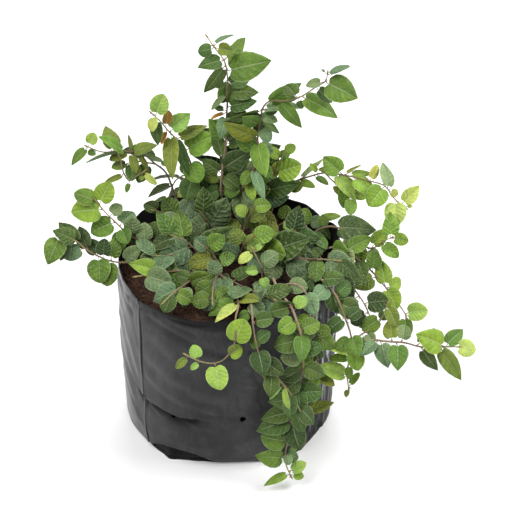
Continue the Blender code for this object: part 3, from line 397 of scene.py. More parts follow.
@dataclass(frozen=True)
class LeafFace:
    """The upper face of a leaf: puffed between sunken veins, with a pale midrib and rim; its colour carries
    painted shade and highlights.
    """

    name: str
    relief: float
    roughness: float
    vein_share: float = 0.3
    shading: float = 0.3
    mottle: float = 0.7
    pale_rim_and_rim_light_share: float = 0.3
    painted_highlight_share: float = 0.5
    laterals: float = 5.2
    slope: float = 0.42
    curve: float = 0.14
    vein_colour: tuple = (0.74, 0.84, 0.54)
    painted_highlight_colour: tuple = (0.52, 0.62, 0.42)

    def veins(self, graph: Graph) -> tuple[Value, Value, Value, Value, Value]:
        """The pattern that both faces of a leaf share.

        Args:
            graph: The material that is written.

        Returns:
            The midrib, the lateral veins, the pale rim, a painted highlight on the light side of each
            puffed cell and the puffed height between the veins.
        """
        across, along, place = graph.face_place(LEAF_MAP)
        wander = graph.noise(graph.stretched(place, (5, 5, 5)), 1.0, 2)
        out = abs(across - 0.5) * 2
        run = ((along - out * self.slope + out * out * self.curve) * self.laterals + wander * 0.9).fraction()
        ridge = 1 - abs(run - 0.5) * 2
        midrib = out.step(0.085, 0.02)
        lateral = ridge.step(0.84, 1.0) * out.step(1.0, 0.4)
        # A pale band along the margin: partly the leaf's own pale edge and partly painted rim light.
        rim = out.step(0.86, 0.97).most(along.step(0.95, 1.0))
        edge = graph.cells(graph.stretched(place, (9, 11, 1)), 1.0)
        lumps = graph.noise(graph.stretched(place, (8, 8, 8)), 1.0, 2)
        # Painted highlights on the light side of each puffed cell, broken into patches.
        painted_highlight = run.step(0.58, 0.70) * run.step(0.98, 0.80) * out.step(0.08, 0.22) * out.step(0.95, 0.70)
        painted_highlight = painted_highlight * lumps.step(0.44, 0.62)
        puffed = (1 - ridge * ridge) * 0.5 + edge.step(0.0, 0.35) * 0.3 + lumps * 0.6 - midrib * 0.5
        return midrib, lateral, rim, painted_highlight, puffed

    def tone_with_shaded_half(self, graph: Graph) -> NodeSocket:
        """The leaf's own tone, with painted shade on one half of the folded blade."""
        across, _, _ = graph.face_place(LEAF_MAP)
        # Painted shade: the tone's alpha, random for each leaf, picks which half of the folded blade is
        # darker.
        dark = abs(across.step(0.46, 0.54) - graph.attribute(TONE, "Alpha"))
        return graph.mix(dark * 0.6, graph.attribute(TONE), (0.54, 0.58, 0.46), "MULTIPLY")

    def build(self) -> Material:
        """The material of the upper face."""
        graph = Graph(self.name)
        midrib, lateral, rim, painted_highlight, puffed = self.veins(graph)
        tone = self.tone_with_shaded_half(graph)
        place = graph.objects_place()
        blotch = graph.noise(place, 150, 3, 0.6)
        mottled = graph.mix(self.mottle, tone, graph.ramp(blotch, (
            (0.28, (0.58, 0.66, 0.60)), (0.50, (1, 1, 1)), (0.74, (1.55, 1.34, 1.10)))), "MULTIPLY")
        dust = graph.noise(place, 1500, 1).step(0.64, 0.74) * 0.20
        dusty = graph.mix(dust, mottled, (0.27, 0.32, 0.20))
        shade = graph.mix(puffed.step(0.62, 0.15) * self.shading, dusty, (0.30, 0.34, 0.26), "MULTIPLY")
        # Painted highlights lighten the colour towards a pale green.
        lit = graph.mix(painted_highlight * self.painted_highlight_share, shade, graph.mix(0.42, tone, self.painted_highlight_colour))
        share = midrib * (self.vein_share * 1.8) + lateral * (self.vein_share * 0.5) + rim * self.pale_rim_and_rim_light_share
        colour = graph.mix(share, lit, graph.mix(0.36, tone, self.vein_colour))
        rough = self.roughness + blotch * 0.12 + lateral * 0.08
        return graph.finish(Base_Color=colour, Roughness=rough, Specular_IOR_Level=0.2,
                            Normal=graph.bump(puffed, self.relief, 0.0012))


@dataclass(frozen=True)
class LeafBack(LeafFace):
    """The under face of a leaf: paler, matte, with raised veins."""

    pale: tuple = (0.27, 0.35, 0.20)

    def build(self) -> Material:
        """The material of the under face."""
        graph = Graph(self.name)
        midrib, lateral, rim, _, puffed = self.veins(graph)
        back = graph.mix(0.62, self.tone_with_shaded_half(graph), self.pale)
        share = midrib * 0.55 + lateral * 0.40 + rim * self.pale_rim_and_rim_light_share
        colour = graph.mix(share, back, (0.44, 0.50, 0.32))
        return graph.finish(Base_Color=colour, Roughness=self.roughness, Specular_IOR_Level=0.3,
                            Normal=graph.bump(1 - puffed, self.relief, 0.0007))


@dataclass(frozen=True)
class Bark:
    """Stem bark: red-brown and smooth when young, tan and flaky when old."""

    name: str = "fig bark"
    young: tuple = (0.28, 0.26, 0.10)
    middle: tuple = (0.170, 0.112, 0.062)
    grown: tuple = (0.25, 0.185, 0.115)
    old: tuple = (0.54, 0.45, 0.30)

    def build(self) -> Material:
        """The material of stems and leaf stalks."""
        graph = Graph(self.name)
        age = graph.attribute(AGE, "Fac")
        place = graph.objects_place()
        flakes = graph.noise(place, 900, 3, 0.65)
        blend = graph.ramp(age, ((0.0, self.young), (0.22, self.middle), (0.5, self.grown), (1.0, self.old)))
        colour = graph.mix(0.8, blend, graph.ramp(flakes, (
            (0.30, (0.55, 0.50, 0.46)), (0.60, (1, 1, 1)), (0.8, (1.3, 1.25, 1.2)))), "MULTIPLY")
        return graph.finish(Base_Color=colour, Roughness=0.62 + flakes * 0.2,
                            Normal=graph.bump(flakes, 0.5, 0.0006))


@dataclass(frozen=True)
class BudScale:
    """The pointed scales that close a bud: green-bronze speckled with red-brown."""

    name: str = "bud scale"

    def build(self) -> Material:
        """The material of buds."""
        graph = Graph(self.name)
        speckle = graph.noise(graph.objects_place(), 700, 2)
        colour = graph.ramp(speckle, ((0.3, (0.24, 0.24, 0.06)), (0.7, (0.22, 0.105, 0.035))))
        return graph.finish(Base_Color=colour, Roughness=0.5 + speckle * 0.1)


@dataclass(frozen=True)
class BlackFilm:
    """Black satin polythene film, near black, with painted shade in its folds and painted highlights and
    reflections on its ridges and facets.
    """

    name: str = "black film"
    dust: tuple = (0.110, 0.104, 0.096)
    painted_reflection: tuple = (0.62, 0.63, 0.65)
    seams: tuple = (-138.7, 42.0)
    # Film colours from painted shade at 0 to painted highlight at 1.
    painted_light_greys: tuple = ((0.0, (0.002, 0.002, 0.002)), (0.3, (0.017, 0.017, 0.018)),
                    (0.6, (0.064, 0.065, 0.068)), (1.0, (0.200, 0.202, 0.208)))

    def build(self) -> Material:
        """The material of the bag."""
        graph = Graph(self.name)
        place = graph.objects_place()
        turn, height = graph.round_the_middle(place)
        cloud = graph.noise(place, 38, 4, 0.6)
        fine = graph.noise(place, 1400, 2, 0.6)
        crinkle = graph.noise(graph.stretched(place, (1, 1, 0.45), (0, 20, 0)), 210, 4, 0.62, 0.8)
        upright = graph.noise(graph.stretched(place, (1, 1, 0.07)), 240, 3, 0.6, 0.3)
        # Painted reflections: pale upright stripes on the right side of the bag.
        right = turn.step(-58, -34) * turn.step(12, -6) * height.step(0.002, 0.03)
        painted_reflections = upright.step(0.54, 0.70) * right * cloud.step(0.34, 0.60)
        # The painted light and shade from the mesh, with cloudy and crinkled noise on top.
        grey = graph.attribute(FILM_PAINTED_LIGHT, "Fac") + (cloud - 0.5) * 0.16 + (crinkle - 0.5) * 0.14
        # Painted shade along each seam, with a painted highlight on a thin strip next to it.
        seam_line_shade, seam_highlight = 0, 0
        for seam in self.seams:
            away = turn - seam + (cloud - 0.5) * 1.2
            seam_line_shade = seam_line_shade + abs(away).step(0.50, 0.20)
            seam_highlight = seam_highlight + abs(away + 0.95).step(0.75, 0.2)
        grey = (grey + seam_highlight * 0.16) * (1 - seam_line_shade * 0.75)
        specks = graph.noise(place, 850, 1, 0.4).step(0.70, 0.78) * cloud.step(0.45, 0.70)
        film = graph.mix(painted_reflections, graph.ramp(grey, self.painted_light_greys), self.painted_reflection)
        colour = graph.mix(specks * 0.7 + cloud.step(0.5, 0.8) * 0.08, film, self.dust)
        relief = crinkle * 0.8 + fine * 0.12 - seam_line_shade * 0.5
        return graph.finish(Base_Color=colour, Roughness=0.40 + cloud * 0.12 + specks * 0.3,
                            Specular_IOR_Level=0.1, Coat_Weight=grey.step(0.1, 0.75) * 0.8 + painted_reflections * 0.2,
                            Coat_Roughness=0.28, Normal=graph.bump(relief, 0.34, 0.0010))


@dataclass(frozen=True)
class Coir:
    """Red-brown coir and peat, from dark wet crumbs to dry tan fibre."""

    name: str
    light: float
    grain: float
    stops: tuple = ((0.28, (0.005, 0.003, 0.002)), (0.50, (0.018, 0.010, 0.007)),
                    (0.68, (0.075, 0.034, 0.019)), (0.86, (0.27, 0.135, 0.068)))

    def build(self) -> Material:
        """The material of the soil, its crumbs or its fibres."""
        graph = Graph(self.name)
        place = graph.objects_place()
        broad = graph.noise(place, 120, 4, 0.65)
        grain = graph.noise(place, self.grain, 3, 0.7)
        strands = graph.noise(graph.stretched(place, (1, 0.22, 1), (0, 0, 35)), 900, 3, 0.6, 0.6)
        mixed = broad * 0.35 + grain * 0.35 + strands * 0.35 + self.light
        colour = graph.ramp(mixed, self.stops)
        return graph.finish(Base_Color=colour, Roughness=0.92, Specular_IOR_Level=0.2,
                            Normal=graph.bump(grain * 0.6 + strands * 0.6, 0.8, 0.0009))


@dataclass(frozen=True)
class StudioWhite:
    """The pale matte sheet that the plant stands on."""

    name: str = "studio sheet"
    colour: tuple = (0.92, 0.92, 0.92)

    def build(self) -> Material:
        """The material of the floor."""
        return Graph(self.name).finish(Base_Color=(*self.colour, 1), Roughness=0.9, Specular_IOR_Level=0.1,
                                       Emission_Color=(1, 1, 1, 1), Emission_Strength=0.05)


def bump(angle: float, centre: float, width: float) -> float:
    """A rounded rise of height 1 round an angle, all in degrees."""
    away = (angle - centre + 180) % 360 - 180
    return math.exp(-(away / width) ** 2)


def bumps(angles: np.ndarray, centre: float, width: float) -> np.ndarray:
    """The same rise at each of many angles."""
    return np.array([bump(angle, centre, width) for angle in angles])


@dataclass(frozen=True)
class PotForm:
    """The shared form of the bag's wall, its cut rim and the top of its soil."""

    radius: float = 0.0796
    film: float = 0.0008
    rim: float = 0.1435
    foot_rounding: float = 0.003
    foot_radius: float = 0.0785
    foot_flats: tuple = (-86, 94)
    foot_flat_depth: float = 0.0105
    foot_flat_width: float = 23
    taper_height: float = 0.060
    creases: tuple = (-138, 42)
    crease_depth: float = 0.0014
    crease_width: float = 7
    wave_start: float = 0.134
    flare: float = 0.10
    flare_waves: int = 5
    flare_turn: float = 40
    ripples: tuple = ((0.0008, 7), (0.0006, 11))
    stands: tuple = ((0.012, 8, 17), (0.006, 122, 32), (0.003, 58, 26), (0.003, -18, 14))
    soil_level: float = 0.1325
    soil_slope: float = -0.035
    soil_lump: float = 0.0014
    small_lumps: tuple = (260, 230)
    small_lumps_shift: float = 1.3
    broad_lumps: tuple = (95, 140)
    broad_lumps_share: float = 0.6

    def wall_radius(self, angle: float, height: float) -> float:
        """Outer radius of the film.

        Args:
            angle: The angle in degrees.
            height: The height in metres.

        Returns:
            The radius in metres.
        """
        flatness = sum(bump(angle, centre, self.foot_flat_width) for centre in self.foot_flats)
        foot = self.foot_radius - self.foot_flat_depth * flatness
        drawn_in = max(0.0, 1 - height / self.taper_height) ** 2
        crease = sum(bump(angle, centre, self.crease_width) for centre in self.creases)
        wave = math.sin(math.radians(self.flare_waves * angle + self.flare_turn))
        flare = max(0.0, height - self.wave_start) * self.flare * wave
        return self.radius - (self.radius - foot) * drawn_in + self.crease_depth * crease + flare

    def rim_height(self, angle: float) -> float:
        """Height of the bag's cut edge at an angle."""
        ripple = sum(rise * math.sin(math.radians(waves * angle)) for rise, waves in self.ripples)
        stands = sum(rise * bump(angle, centre, width) for rise, centre, width in self.stands)
        return self.rim + ripple + stands

    def soil_height(self, x: float, y: float) -> float:
        """Height of the top of the soil.

        Args:
            x: The point's x, in metres.
            y: Its y.

        Returns:
            The height in metres.
        """
        across, along = self.small_lumps
        small = math.sin(x * across + self.small_lumps_shift) * math.cos(y * along)
        across, along = self.broad_lumps
        broad = self.broad_lumps_share * math.sin(x * across - y * along)
        return self.soil_level + self.soil_slope * y + self.soil_lump * (small + broad)


class Foliage(Enum):
    """The slot that a node of leaves takes its finish from."""

    DARK = "dark_leaf"
    MID = "mid_leaf"
    BRIGHT = "bright_leaf"


DARK, MID, BRIGHT = Foliage.DARK, Foliage.MID, Foliage.BRIGHT


class Tone(Enum):
    """Leaf colours by the letter that a row of set leaves ends in."""

    E = (0.040, 0.076, 0.015)
    D = (0.066, 0.124, 0.023)
    M = (0.112, 0.206, 0.026)
    F = (0.188, 0.325, 0.036)
    B = (0.285, 0.450, 0.085)
    Y = (0.470, 0.540, 0.120)
    O = (0.175, 0.230, 0.030)
    Z = (0.370, 0.200, 0.026)
    U = (0.148, 0.232, 0.104)
    P = (0.255, 0.320, 0.130)
    V = (0.195, 0.296, 0.160)
    C = (0.082, 0.146, 0.052)


AGES = (Tone.E, Tone.D, Tone.M, Tone.F, Tone.B, Tone.Y)


@dataclass(frozen=True)
class Habit:
    """How a shoot carries its leaves: the way they face, their size and gap, and the bare part."""

    face: tuple = (0, -0.7, 0.7)
    leaf: float = 18
    gap: float = 9
    bare: float = 26
    side: int = 1
    spread: float = 58


@dataclass(frozen=True)
class Shoot:
    """A stem by the points of its route in millimetres, and the leaves that it carries.

    Leaves follow the habit, or else each is set by a row: its distance along the stem, the compass
    angle, the rise and the roll of its blade, its length, its width and the letter of its tone.
    """

    name: str
    node: str
    radius: float
    foliage: Foliage
    route: tuple
    habit: Habit = Habit()
    leaves: tuple = ()
    small: tuple = ()


def rows(text: str) -> tuple:
    """The rows of a table that is written as text: commas part its rows, and spaces their numbers."""
    return tuple(tuple(word if word.isalpha() else float(word) for word in row.split())
                 for row in text.split(",") if row)


def planned(name: str, foliage: Foliage, radius: float, route: str, node: str = "",
            habit: Habit = Habit(), leaves: str = "", small: str = "") -> Shoot:
    """A shoot as the planting plan lists it.

    Args:
        name: The shoot's name.
        foliage: The slot of its leaves.
        radius: The radius of its stem's foot, in millimetres.
        route: A row of x, y and z for each point of the stem.
        node: The node that it belongs to, where it's a branch and so has a name of its own.
        habit: How it carries leaves that aren't set one by one.
        leaves: A row for each leaf that is set.
        small: A row for each small leaf, which the solids leave out.

    Returns:
        The shoot.
    """
    return Shoot(name, node or name, radius, foliage, rows(route), habit, rows(leaves), rows(small))


@dataclass
class Leaf:
    """One blade: where its stalk leaves the stem, the way it points and the way it faces."""

    root: Vector
    along: Vector
    normal: Vector
    length: float
    half_width: float
    stalk: float
    fold: float
    droop: float
    shoot: str = ""
    count: int = 0
    reach: float = 0.0
    tone: str = ""
    small: bool = False

    @property
    def in_mat(self) -> bool:
        """Whether it grows in the low mat over the soil."""
        return self.shoot.startswith("mat")

    def point(self, u: float, v: float, height: float) -> Vector:
        """A point of the blade: raised by its fold away from the midrib, lowered towards its tip."""
        out = max(0.0, u - self.stalk)
        rise = self.fold * abs(v) - self.droop * out * out / self.length + height
        across = self.normal.cross(self.along)
        return self.root + self.along * u + across * v + self.normal * rise


SHOOTS = (
    planned("leader", MID, 1.7, route="""
        2 36 118, 2 36 138, -4 35 167, -4 35 186, -3 36 197, -1 38 210, 0 40 232, 1 42 252, 1 42 268,
        -1 42 280, -8 42 291, -12 42 298""", leaves="""
        57 1 -19 10 14.5 7 D, 59 177 -27 -37 10.5 10 D, 69 156 -10 -84 12 7.5 O, 71 -17 -29 30 11.5 10 D,
        77 -2 36 74 18.5 13.5 E, 85 129 60 -51 21.5 9 D, 91 39 -7 79 14.5 7.5 M, 93 43 11 50 11.5 11 E,
        111 143 6 -4 9.5 7.5 D, 120 -106 -31 -4 14 8.5 U, 126 -8 20 46 17 10 D, 136 8 -9 29 17 11 D,
        136 -154 -30 16 11.5 8 U, 143 34 6 26 15.5 11 D, 155 -3 16 50 26 18 M, 160 -146 -47 -92 19 11 D,
        164 42 16 84 20.5 11 M, 164 -151 3 -40 14.5 10 D, 170 174 -17 -45 9 8.5 D,
        178 28 18 -14 12.5 7 U""", small="""
        120 -164 -5 4 8.5 5 Z, 122 -179 16 -14 5.5 5 D, 147 -155 -15 -27 6 6 D,
        175 -25 9 43 8.5 8 O"""),
    planned("leader_right", MID, 1.4, node="leader", route="""
        -3 35 154, 6 35 169, 14 35 183, 20 34 198, 22 32 221, 24 30 239, 26 28 251, 31 25 258, 40 20 261,
        50 14 267, 62 9 279, 68 6 285, 69 5 291""", leaves="""
        24 -68 -59 8 20.5 14 U, 26 -25 -51 39 11 6.5 U, 37 -76 -40 2 12.5 6.5 F, 46 -130 -28 -22 10 7.5 M,
        47 -72 -31 -5 20.5 7 U, 55 -3 -49 52 17 7.5 M, 72 -81 -24 26 23.5 12 F, 72 -8 -36 45 10 8.5 U,
        75 -166 30 -106 22.5 13 O, 91 3 -34 19 14 6.5 D, 93 170 -30 -30 17 8 F, 99 -175 -23 -109 23.5 11 D,
        100 -13 17 6 23.5 12 U, 106 5 26 102 22 12.5 M, 117 -20 -48 41 19.5 9 M, 136 129 20 -22 10 9.5 D,
        139 -14 -21 31 23.5 12.5 M, 153 -3 -43 39 13 8 D, 162 -28 -12 39 19.5 16.5 M, 162 178 -14 -24 9 7 U,
        168 20 25 -11 12.5 8 U""", small="""
        44 -65 -45 10 8 6.5 D, 85 -43 -30 16 9 8.5 U, 92 -24 5 12 9 7.5 U, 95 9 -8 99 7.5 6 E,
        123 -5 19 25 6.5 5 M, 135 -53 -33 9 5 5 D, 168 163 37 -21 2.5 2 U"""),
    planned("front_runner", BRIGHT, 1.2, route="""
        4 -33 118, 4 -33 138, 7 -50 146, 9 -66 149, 7 -78 148, 7 -85 141, 6 -87 131, 2 -89 124, -3 -90 119,
        -10 -91 118, -18 -91 120, -26 -91 125""", leaves="""
        48 -18 -4 11 12.5 8 O, 50 -170 -22 -32 17.5 9.5 M, 52 -129 -20 3 19 7.5 Y, 87 44 60 33 15 14.5 F,
        108 -75 -42 16 14.5 13 B""", small="""
        98 27 17 51 9 8.5 F, 118 -138 -17 -29 5.5 4 B, 119 124 53 -21 8 7.5 B,
        127 -146 -26 -22 8.5 5 O"""),
    planned("front_trail", MID, 1.6, route="""
        32 -20 118, 32 -20 138, 36 -40 144, 41 -56 147, 45 -68 150, 49 -77 144, 53 -81 130, 54 -81 112,
        53 -81 98, 50 -83 82, 47 -85 64, 45 -87 46, 42 -89 31, 43 -91 20, 46 -93 13""", leaves="""
        72 -163 -3 -31 11 10.5 D, 81 -143 -15 -52 11 10.5 F, 90 19 16 29 11 10.5 M, 97 -169 -7 -37 15 13 D,
        108 1 22 40 9.5 9 D, 112 -161 11 -49 12 11.5 U, 123 -163 -25 -60 13.5 10.5 E,
        132 -143 -20 -51 12.5 10 E, 145 -9 15 50 13.5 12 D, 149 -179 -15 -64 16 11 D,
        161 -172 -10 -42 18.5 11 D, 169 -161 -2 -41 20.5 13 D, 187 -167 17 -64 15.5 14.5 M,
        202 -171 9 -69 17 12.5 M, 215 12 29 32 10 7.5 B, 216 -163 -14 -20 16 6 F""", small="""
        71 10 21 32 8.5 8 B, 174 24 17 57 6 6 M, 192 6 16 43 8 7.5 M, 197 -68 -40 -2 6.5 6 U,
        217 -10 3 23 6.5 6 F"""),
    planned("front_trail_side", DARK, 1.1, node="front_trail", route="""
        36 -40 144, 45 -44 151, 52 -50 153, 57 -56 149, 60 -61 141, 61 -65 128, 63 -68 111, 65 -70 97,
        63 -73 85, 59 -76 73, 56 -79 61""", leaves="""
        8 -14 7 33 11.5 10.5 U, 44 -165 -11 -31 12 9 F, 67 -134 -26 -25 11.5 8.5 M, 80 -157 -12 -18 12 6.5 F,
        90 -111 -32 -8 11 7 F, 93 -20 -17 19 10.5 7.5 O, 123 17 13 20 17 8.5 O, 123 -162 6 -1 15 4.5 B,
        124 -139 -16 -30 10.5 6.5 B""", small="""
        35 -38 -24 30 5 5 U, 55 -7 -1 33 8.5 8 M, 115 20 12 39 4.5 4 F"""),
    planned("front_middle", MID, 1.3, route="""
        13 -38 118, 13 -38 138, 16 -55 147, 18 -70 150, 19 -81 143, 21 -86 132, 24 -88 121, 30 -89 111,
        38 -91 102, 45 -94 93, 51 -97 82, 55 -99 72""", leaves="""
        43 -45 -28 26 11 10 U, 65 3 12 33 10.5 10 D, 94 -30 -22 34 14 11 E, 116 169 22 -27 10 7 O,
        119 -139 -22 -8 10 3 B, 120 -84 -33 50 12 5 B""", small="""
        58 -170 -21 -32 7.5 7 M, 80 15 43 33 8.5 8 D, 87 124 42 -7 7.5 6 M"""),
    planned("right_trail", MID, 1.5, route="""
        54 -28 118, 54 -28 139, 61 -33 148, 69 -39 149, 77 -46 142, 83 -54 130, 87 -60 121, 89 -62 115,
        96 -60 119, 103 -58 122, 109 -55 128, 113 -51 138""", leaves="""
        34 -141 -21 -30 10.5 10 D, 48 -135 -19 -27 13.5 10.5 U, 56 34 26 52 10.5 9.5 D,
        73 -148 -22 -23 12 9.5 D, 75 29 26 24 9.5 9 E, 88 -145 -19 -32 10.5 8 M,
        116 -169 -31 -33 12.5 10.5 M, 126 -59 -35 15 12 8.5 O""", small="""
        97 -51 -20 13 8.5 7.5 B, 106 -41 -26 28 8.5 8 U, 127 -122 -65 -16 7 7 D"""),
    planned("right_trail_far", MID, 1.1, node="right_trail", route="""
        89 -62 115, 96 -65 117, 104 -67 119, 115 -69 119, 125 -70 119, 136 -71 116, 147 -71 116, 154 -71 116,
        161 -71 116""", leaves="""
        19 -143 -13 -12 12 8 U, 19 -72 -39 22 15 11 U, 29 104 47 -27 13 10 O, 31 -90 -35 6 15.5 12.5 M,
        34 82 41 16 9.5 9 U, 47 45 25 6 14.5 7.5 D, 49 -48 -35 57 15.5 9 E, 62 -36 -44 56 23 10.5 O,
        66 46 17 22 16 9.5 M, 67 -165 24 -51 19 15 F, 73 0 -7 43 11.5 11 Y"""),
    planned("right_trail_drop", BRIGHT, 1.0, node="right_trail", route="""
        89 -62 115, 89 -65 105, 86 -68 96, 86 -69 85, 87 -70 78""", leaves="""
        6 -71 -41 8 12.5 10.5 F, 8 -176 25 -22 17 8 B, 15 -171 13 -15 11 6.5 F, 29 -173 29 -41 20.5 10.5 B,
        39 35 44 21 9 4.5 F""", small="""
        19 -87 -33 13 7.5 5 M, 39 -108 -36 15 4.5 3.5 O"""),
    planned("arch_right", MID, 1.4, route="""
        30 44 118, 30 44 138, 34 47 154, 42 46 168, 50 43 178, 60 39 185, 71 35 191, 81 30 193, 91 25 194,
        103 21 193, 113 17 192, 119 14 184, 127 11 178""", leaves="""
        52 152 -4 -31 13.5 8 F, 67 -24 -2 20 10.5 6 F, 69 45 21 -24 19.5 7.5 P, 70 -154 -52 -28 9 7 O,
        82 -26 -13 7 9 5.5 M, 100 -48 -21 5 20 10 B, 106 144 27 -36 15 12.5 F, 106 34 17 -12 11 4.5 O,
        111 18 7 2 14.5 7.5 F, 112 -38 -18 21 17.5 10.5 F, 118 -88 -58 -38 16 4.5 Z, 126 51 32 51 10 6 Y,
        138 -133 -27 -30 14 13.5 F, 142 109 41 25 17.5 11 P, 151 -91 -45 4 14.5 13.5 Y,
        157 26 42 36 14 9.5 Y""", small="""
        87 151 40 -14 7 4.5 F, 98 156 11 -8 7.5 5.5 O, 142 4 -33 59 5.5 5.5 Y,
        159 -5 9 34 3 3 Y"""),
    planned("arch_right_twig", BRIGHT, 1.0, node="arch_right",
            habit=Habit((0.1, -0.8, 0.6), 17, 9, 8, -1, 55), route="""
        71 35 191, 77 31 186, 85 28 182, 90 25 177""", small="""
        13 -54 -41 58 8 5 O, 22 49 51 2 5 4 D"""),
    planned("right_high", DARK, 1.4, route="""
        58 18 118, 58 18 139, 65 17 152, 75 13 159, 85 8 159, 94 2 153, 101 -2 151, 107 -4 153, 112 -6 160,
        117 -8 164""", leaves="""
        49 -19 5 45 23.5 16 C, 60 -113 -28 -9 13 11 P, 62 24 -1 31 16.5 8.5 F, 69 -87 -35 13 11 9 F,
        75 -67 -46 8 10 9 P, 84 26 48 32 14 9.5 F, 94 -47 -17 26 12.5 8.5 F, 102 88 61 12 14.5 11 F,
        102 -13 -1 32 9 8.5 F""", small="""
        41 81 43 17 7.5 7 M"""),
    planned("right_middle", MID, 1.4, route="""
        62 -2 118, 62 -2 139, 70 -3 150, 82 -6 154, 93 -9 147, 103 -14 140, 112 -20 132, 120 -25 123,
        127 -28 114, 131 -30 106""", leaves="""
        48 -71 -31 26 14.5 11.5 P, 65 -123 -59 -16 13.5 9.5 M, 72 157 5 -39 11 8.5 M, 76 66 70 30 11.5 10 M,
        80 -153 -17 -56 13.5 11 O, 89 101 47 1 16 11 F, 89 -64 -23 28 13.5 13 F, 91 35 8 55 11.5 8.5 F,
        115 -6 15 47 12.5 11.5 B, 119 -129 -69 -42 11.5 8 P""", small="""
        109 148 14 -25 7 7 M"""),
    planned("right_low", DARK, 1.3, route="""
        60 -15 118, 60 -15 139, 69 -21 149, 80 -28 148, 90 -34 139, 98 -38 128, 103 -41 117""", leaves="""
        46 -157 -20 -27 14.5 11.5 D, 50 -52 -35 20 13.5 9.5 E, 56 -139 -13 -31 16 11.5 U,
        62 54 30 39 11.5 8.5 D, 69 -147 -8 -36 15 11 U, 77 8 2 63 14 13 E,
        85 -154 -18 -37 10.5 10 E""", small="""
        88 -138 -23 -28 7.5 7 D"""),
    planned("back_left", MID, 1.5, route="""
        -33 58 118, -33 58 137, -39 61 150, -42 60 163, -46 57 177, -53 54 186, -63 49 199, -79 43 204,
        -90 38 207, -99 34 214""", leaves="""
        84 -16 -4 1 9.5 6 U, 92 153 -1 -20 10 6.5 D, 94 -43 -30 -8 12 5 O, 98 -2 22 26 15.5 9 O,
        99 -160 -6 -20 11.5 7.5 O, 100 95 38 46 10 4.5 O, 100 -68 -32 -2 12 6 O, 101 -170 -21 16 21.5 7 U,
        103 -166 19 -17 21 11.5 F, 109 113 35 1 17 11.5 O, 133 -139 -28 -8 13.5 7.5 M""", small="""
        68 43 17 8 6 5 M, 94 -7 -1 23 7.5 6.5 U, 97 -14 -9 21 3 3 U, 124 -151 -1 -39 5 5 M,
        133 44 55 30 7.5 7.5 B"""),
    planned("back_left_twig", MID, 1.0, node="back_left",
            habit=Habit((-0.1, -0.7, 0.7), 16, 9, 6, -1, 58), route="""
        -53 54 186, -60 50 190, -68 46 194, -72 44 193"""),
    planned("back_left_drop", MID, 0.9, node="back_left", route="""
        -79 43 204, -77 41 198, -75 38 189, -71 36 183, -66 34 188, -60 32 194""", leaves="""
        18 -154 -8 -8 12.5 5.5 O, 39 -36 -22 71 10 5 Y""", small="""
        25 -119 -44 -13 6 3.5 M, 28 64 39 1 5.5 3.5 O, 38 -91 -28 -1 3.5 3 O"""),
    planned("upright_left", MID, 1.5, route="""
        -19 44 118, -19 44 137, -22 46 153, -24 46 172, -26 45 191, -31 43 207, -36 41 216, -42 39 225,
        -47 37 234, -52 35 241""", leaves="""
        44 -34 -15 33 17.5 12 U, 57 -168 -40 -44 13 8 Y, 60 -25 -41 37 17 11 D, 63 -113 -36 -14 13.5 13 D,
        64 130 12 -26 12 8 D, 75 -19 -47 71 11.5 9.5 P, 78 -66 -27 25 14 13 F, 88 9 31 46 17.5 16 F,
        101 33 1 28 20 8.5 O, 103 -45 -62 6 24 8.5 D, 107 -91 -38 24 27 11 O, 110 32 28 28 15.5 12 B,
        113 -108 -26 14 9 4 Z, 124 -93 -65 18 14.5 8.5 D, 128 50 55 31 12.5 11.5 B,
        130 -93 -25 17 9.5 7 Y""", small="""
        115 58 65 46 8.5 6.5 Z"""),
    planned("upright_right", MID, 1.4, route="""
        18 42 118, 18 42 138, 22 42 153, 28 41 168, 33 38 184, 37 36 197, 41 34 208""", leaves="""
        46 10 0 88 15.5 11 U, 48 -136 -30 -16 10.5 8.5 D, 55 -9 22 49 20 13.5 D, 67 33 70 38 10.5 6 Y,
        72 2 22 51 15.5 14.5 F""", small="""
        61 143 19 -21 9 8.5 M, 86 49 39 12 7 7 M, 90 174 33 -35 9 7.5 F, 94 21 33 28 7 7 F"""),
    planned("left_high", MID, 1.3, route="""
        -43 4 118, -43 4 138, -52 6 145, -61 8 148, -68 9 152, -74 10 157, -80 12 163, -87 13 171,
        -93 14 180""", leaves="""
        35 139 16 -30 9 7.5 M, 37 93 63 2 11 10.5 P, 44 151 -4 -40 11 6.5 D, 48 78 67 20 11 10.5 U,
        56 -36 -25 36 14.5 12.5 M, 59 -120 -60 -19 12.5 10 M, 62 41 26 18 12 11.5 U,
        67 -157 -10 -44 14.5 13 M, 80 -163 7 -43 18 16 F, 85 44 53 32 13.5 13 F,
        88 145 18 -23 13 11.5 M""", small="""
        73 33 29 23 8.5 8.5 U"""),
    planned("left_far", DARK, 1.4, route="""
        -46 -12 118, -46 -12 138, -60 -13 147, -73 -13 146, -82 -13 147, -92 -12 151, -101 -11 157,
        -106 -10 162, -113 -10 166, -118 -9 166""", leaves="""
        39 -1 34 88 12.5 8.5 F, 51 19 42 30 14 10 U, 57 -84 -39 11 14.5 14 M, 60 75 34 23 14.5 10 M,
        65 86 73 -6 10.5 10 E, 67 128 29 -20 13.5 10 E, 69 -82 -43 11 15 14.5 M, 78 111 20 -29 17 10 E,
        81 -162 -15 -40 12 10 U, 86 132 18 -25 19.5 10 D, 88 -180 34 -38 14.5 10.5 D,
        95 -140 -69 -51 13.5 8.5 E, 100 -118 -41 -17 18 13.5 M"""),
    planned("upright_middle", DARK, 1.3, habit=Habit((0, -1, 0.4), 25, 9.5, 28, 1, 60), route="""
        12 48 118, 12 48 137, 13 47 155, 15 47 172, 17 47 188, 20 46 203"""),
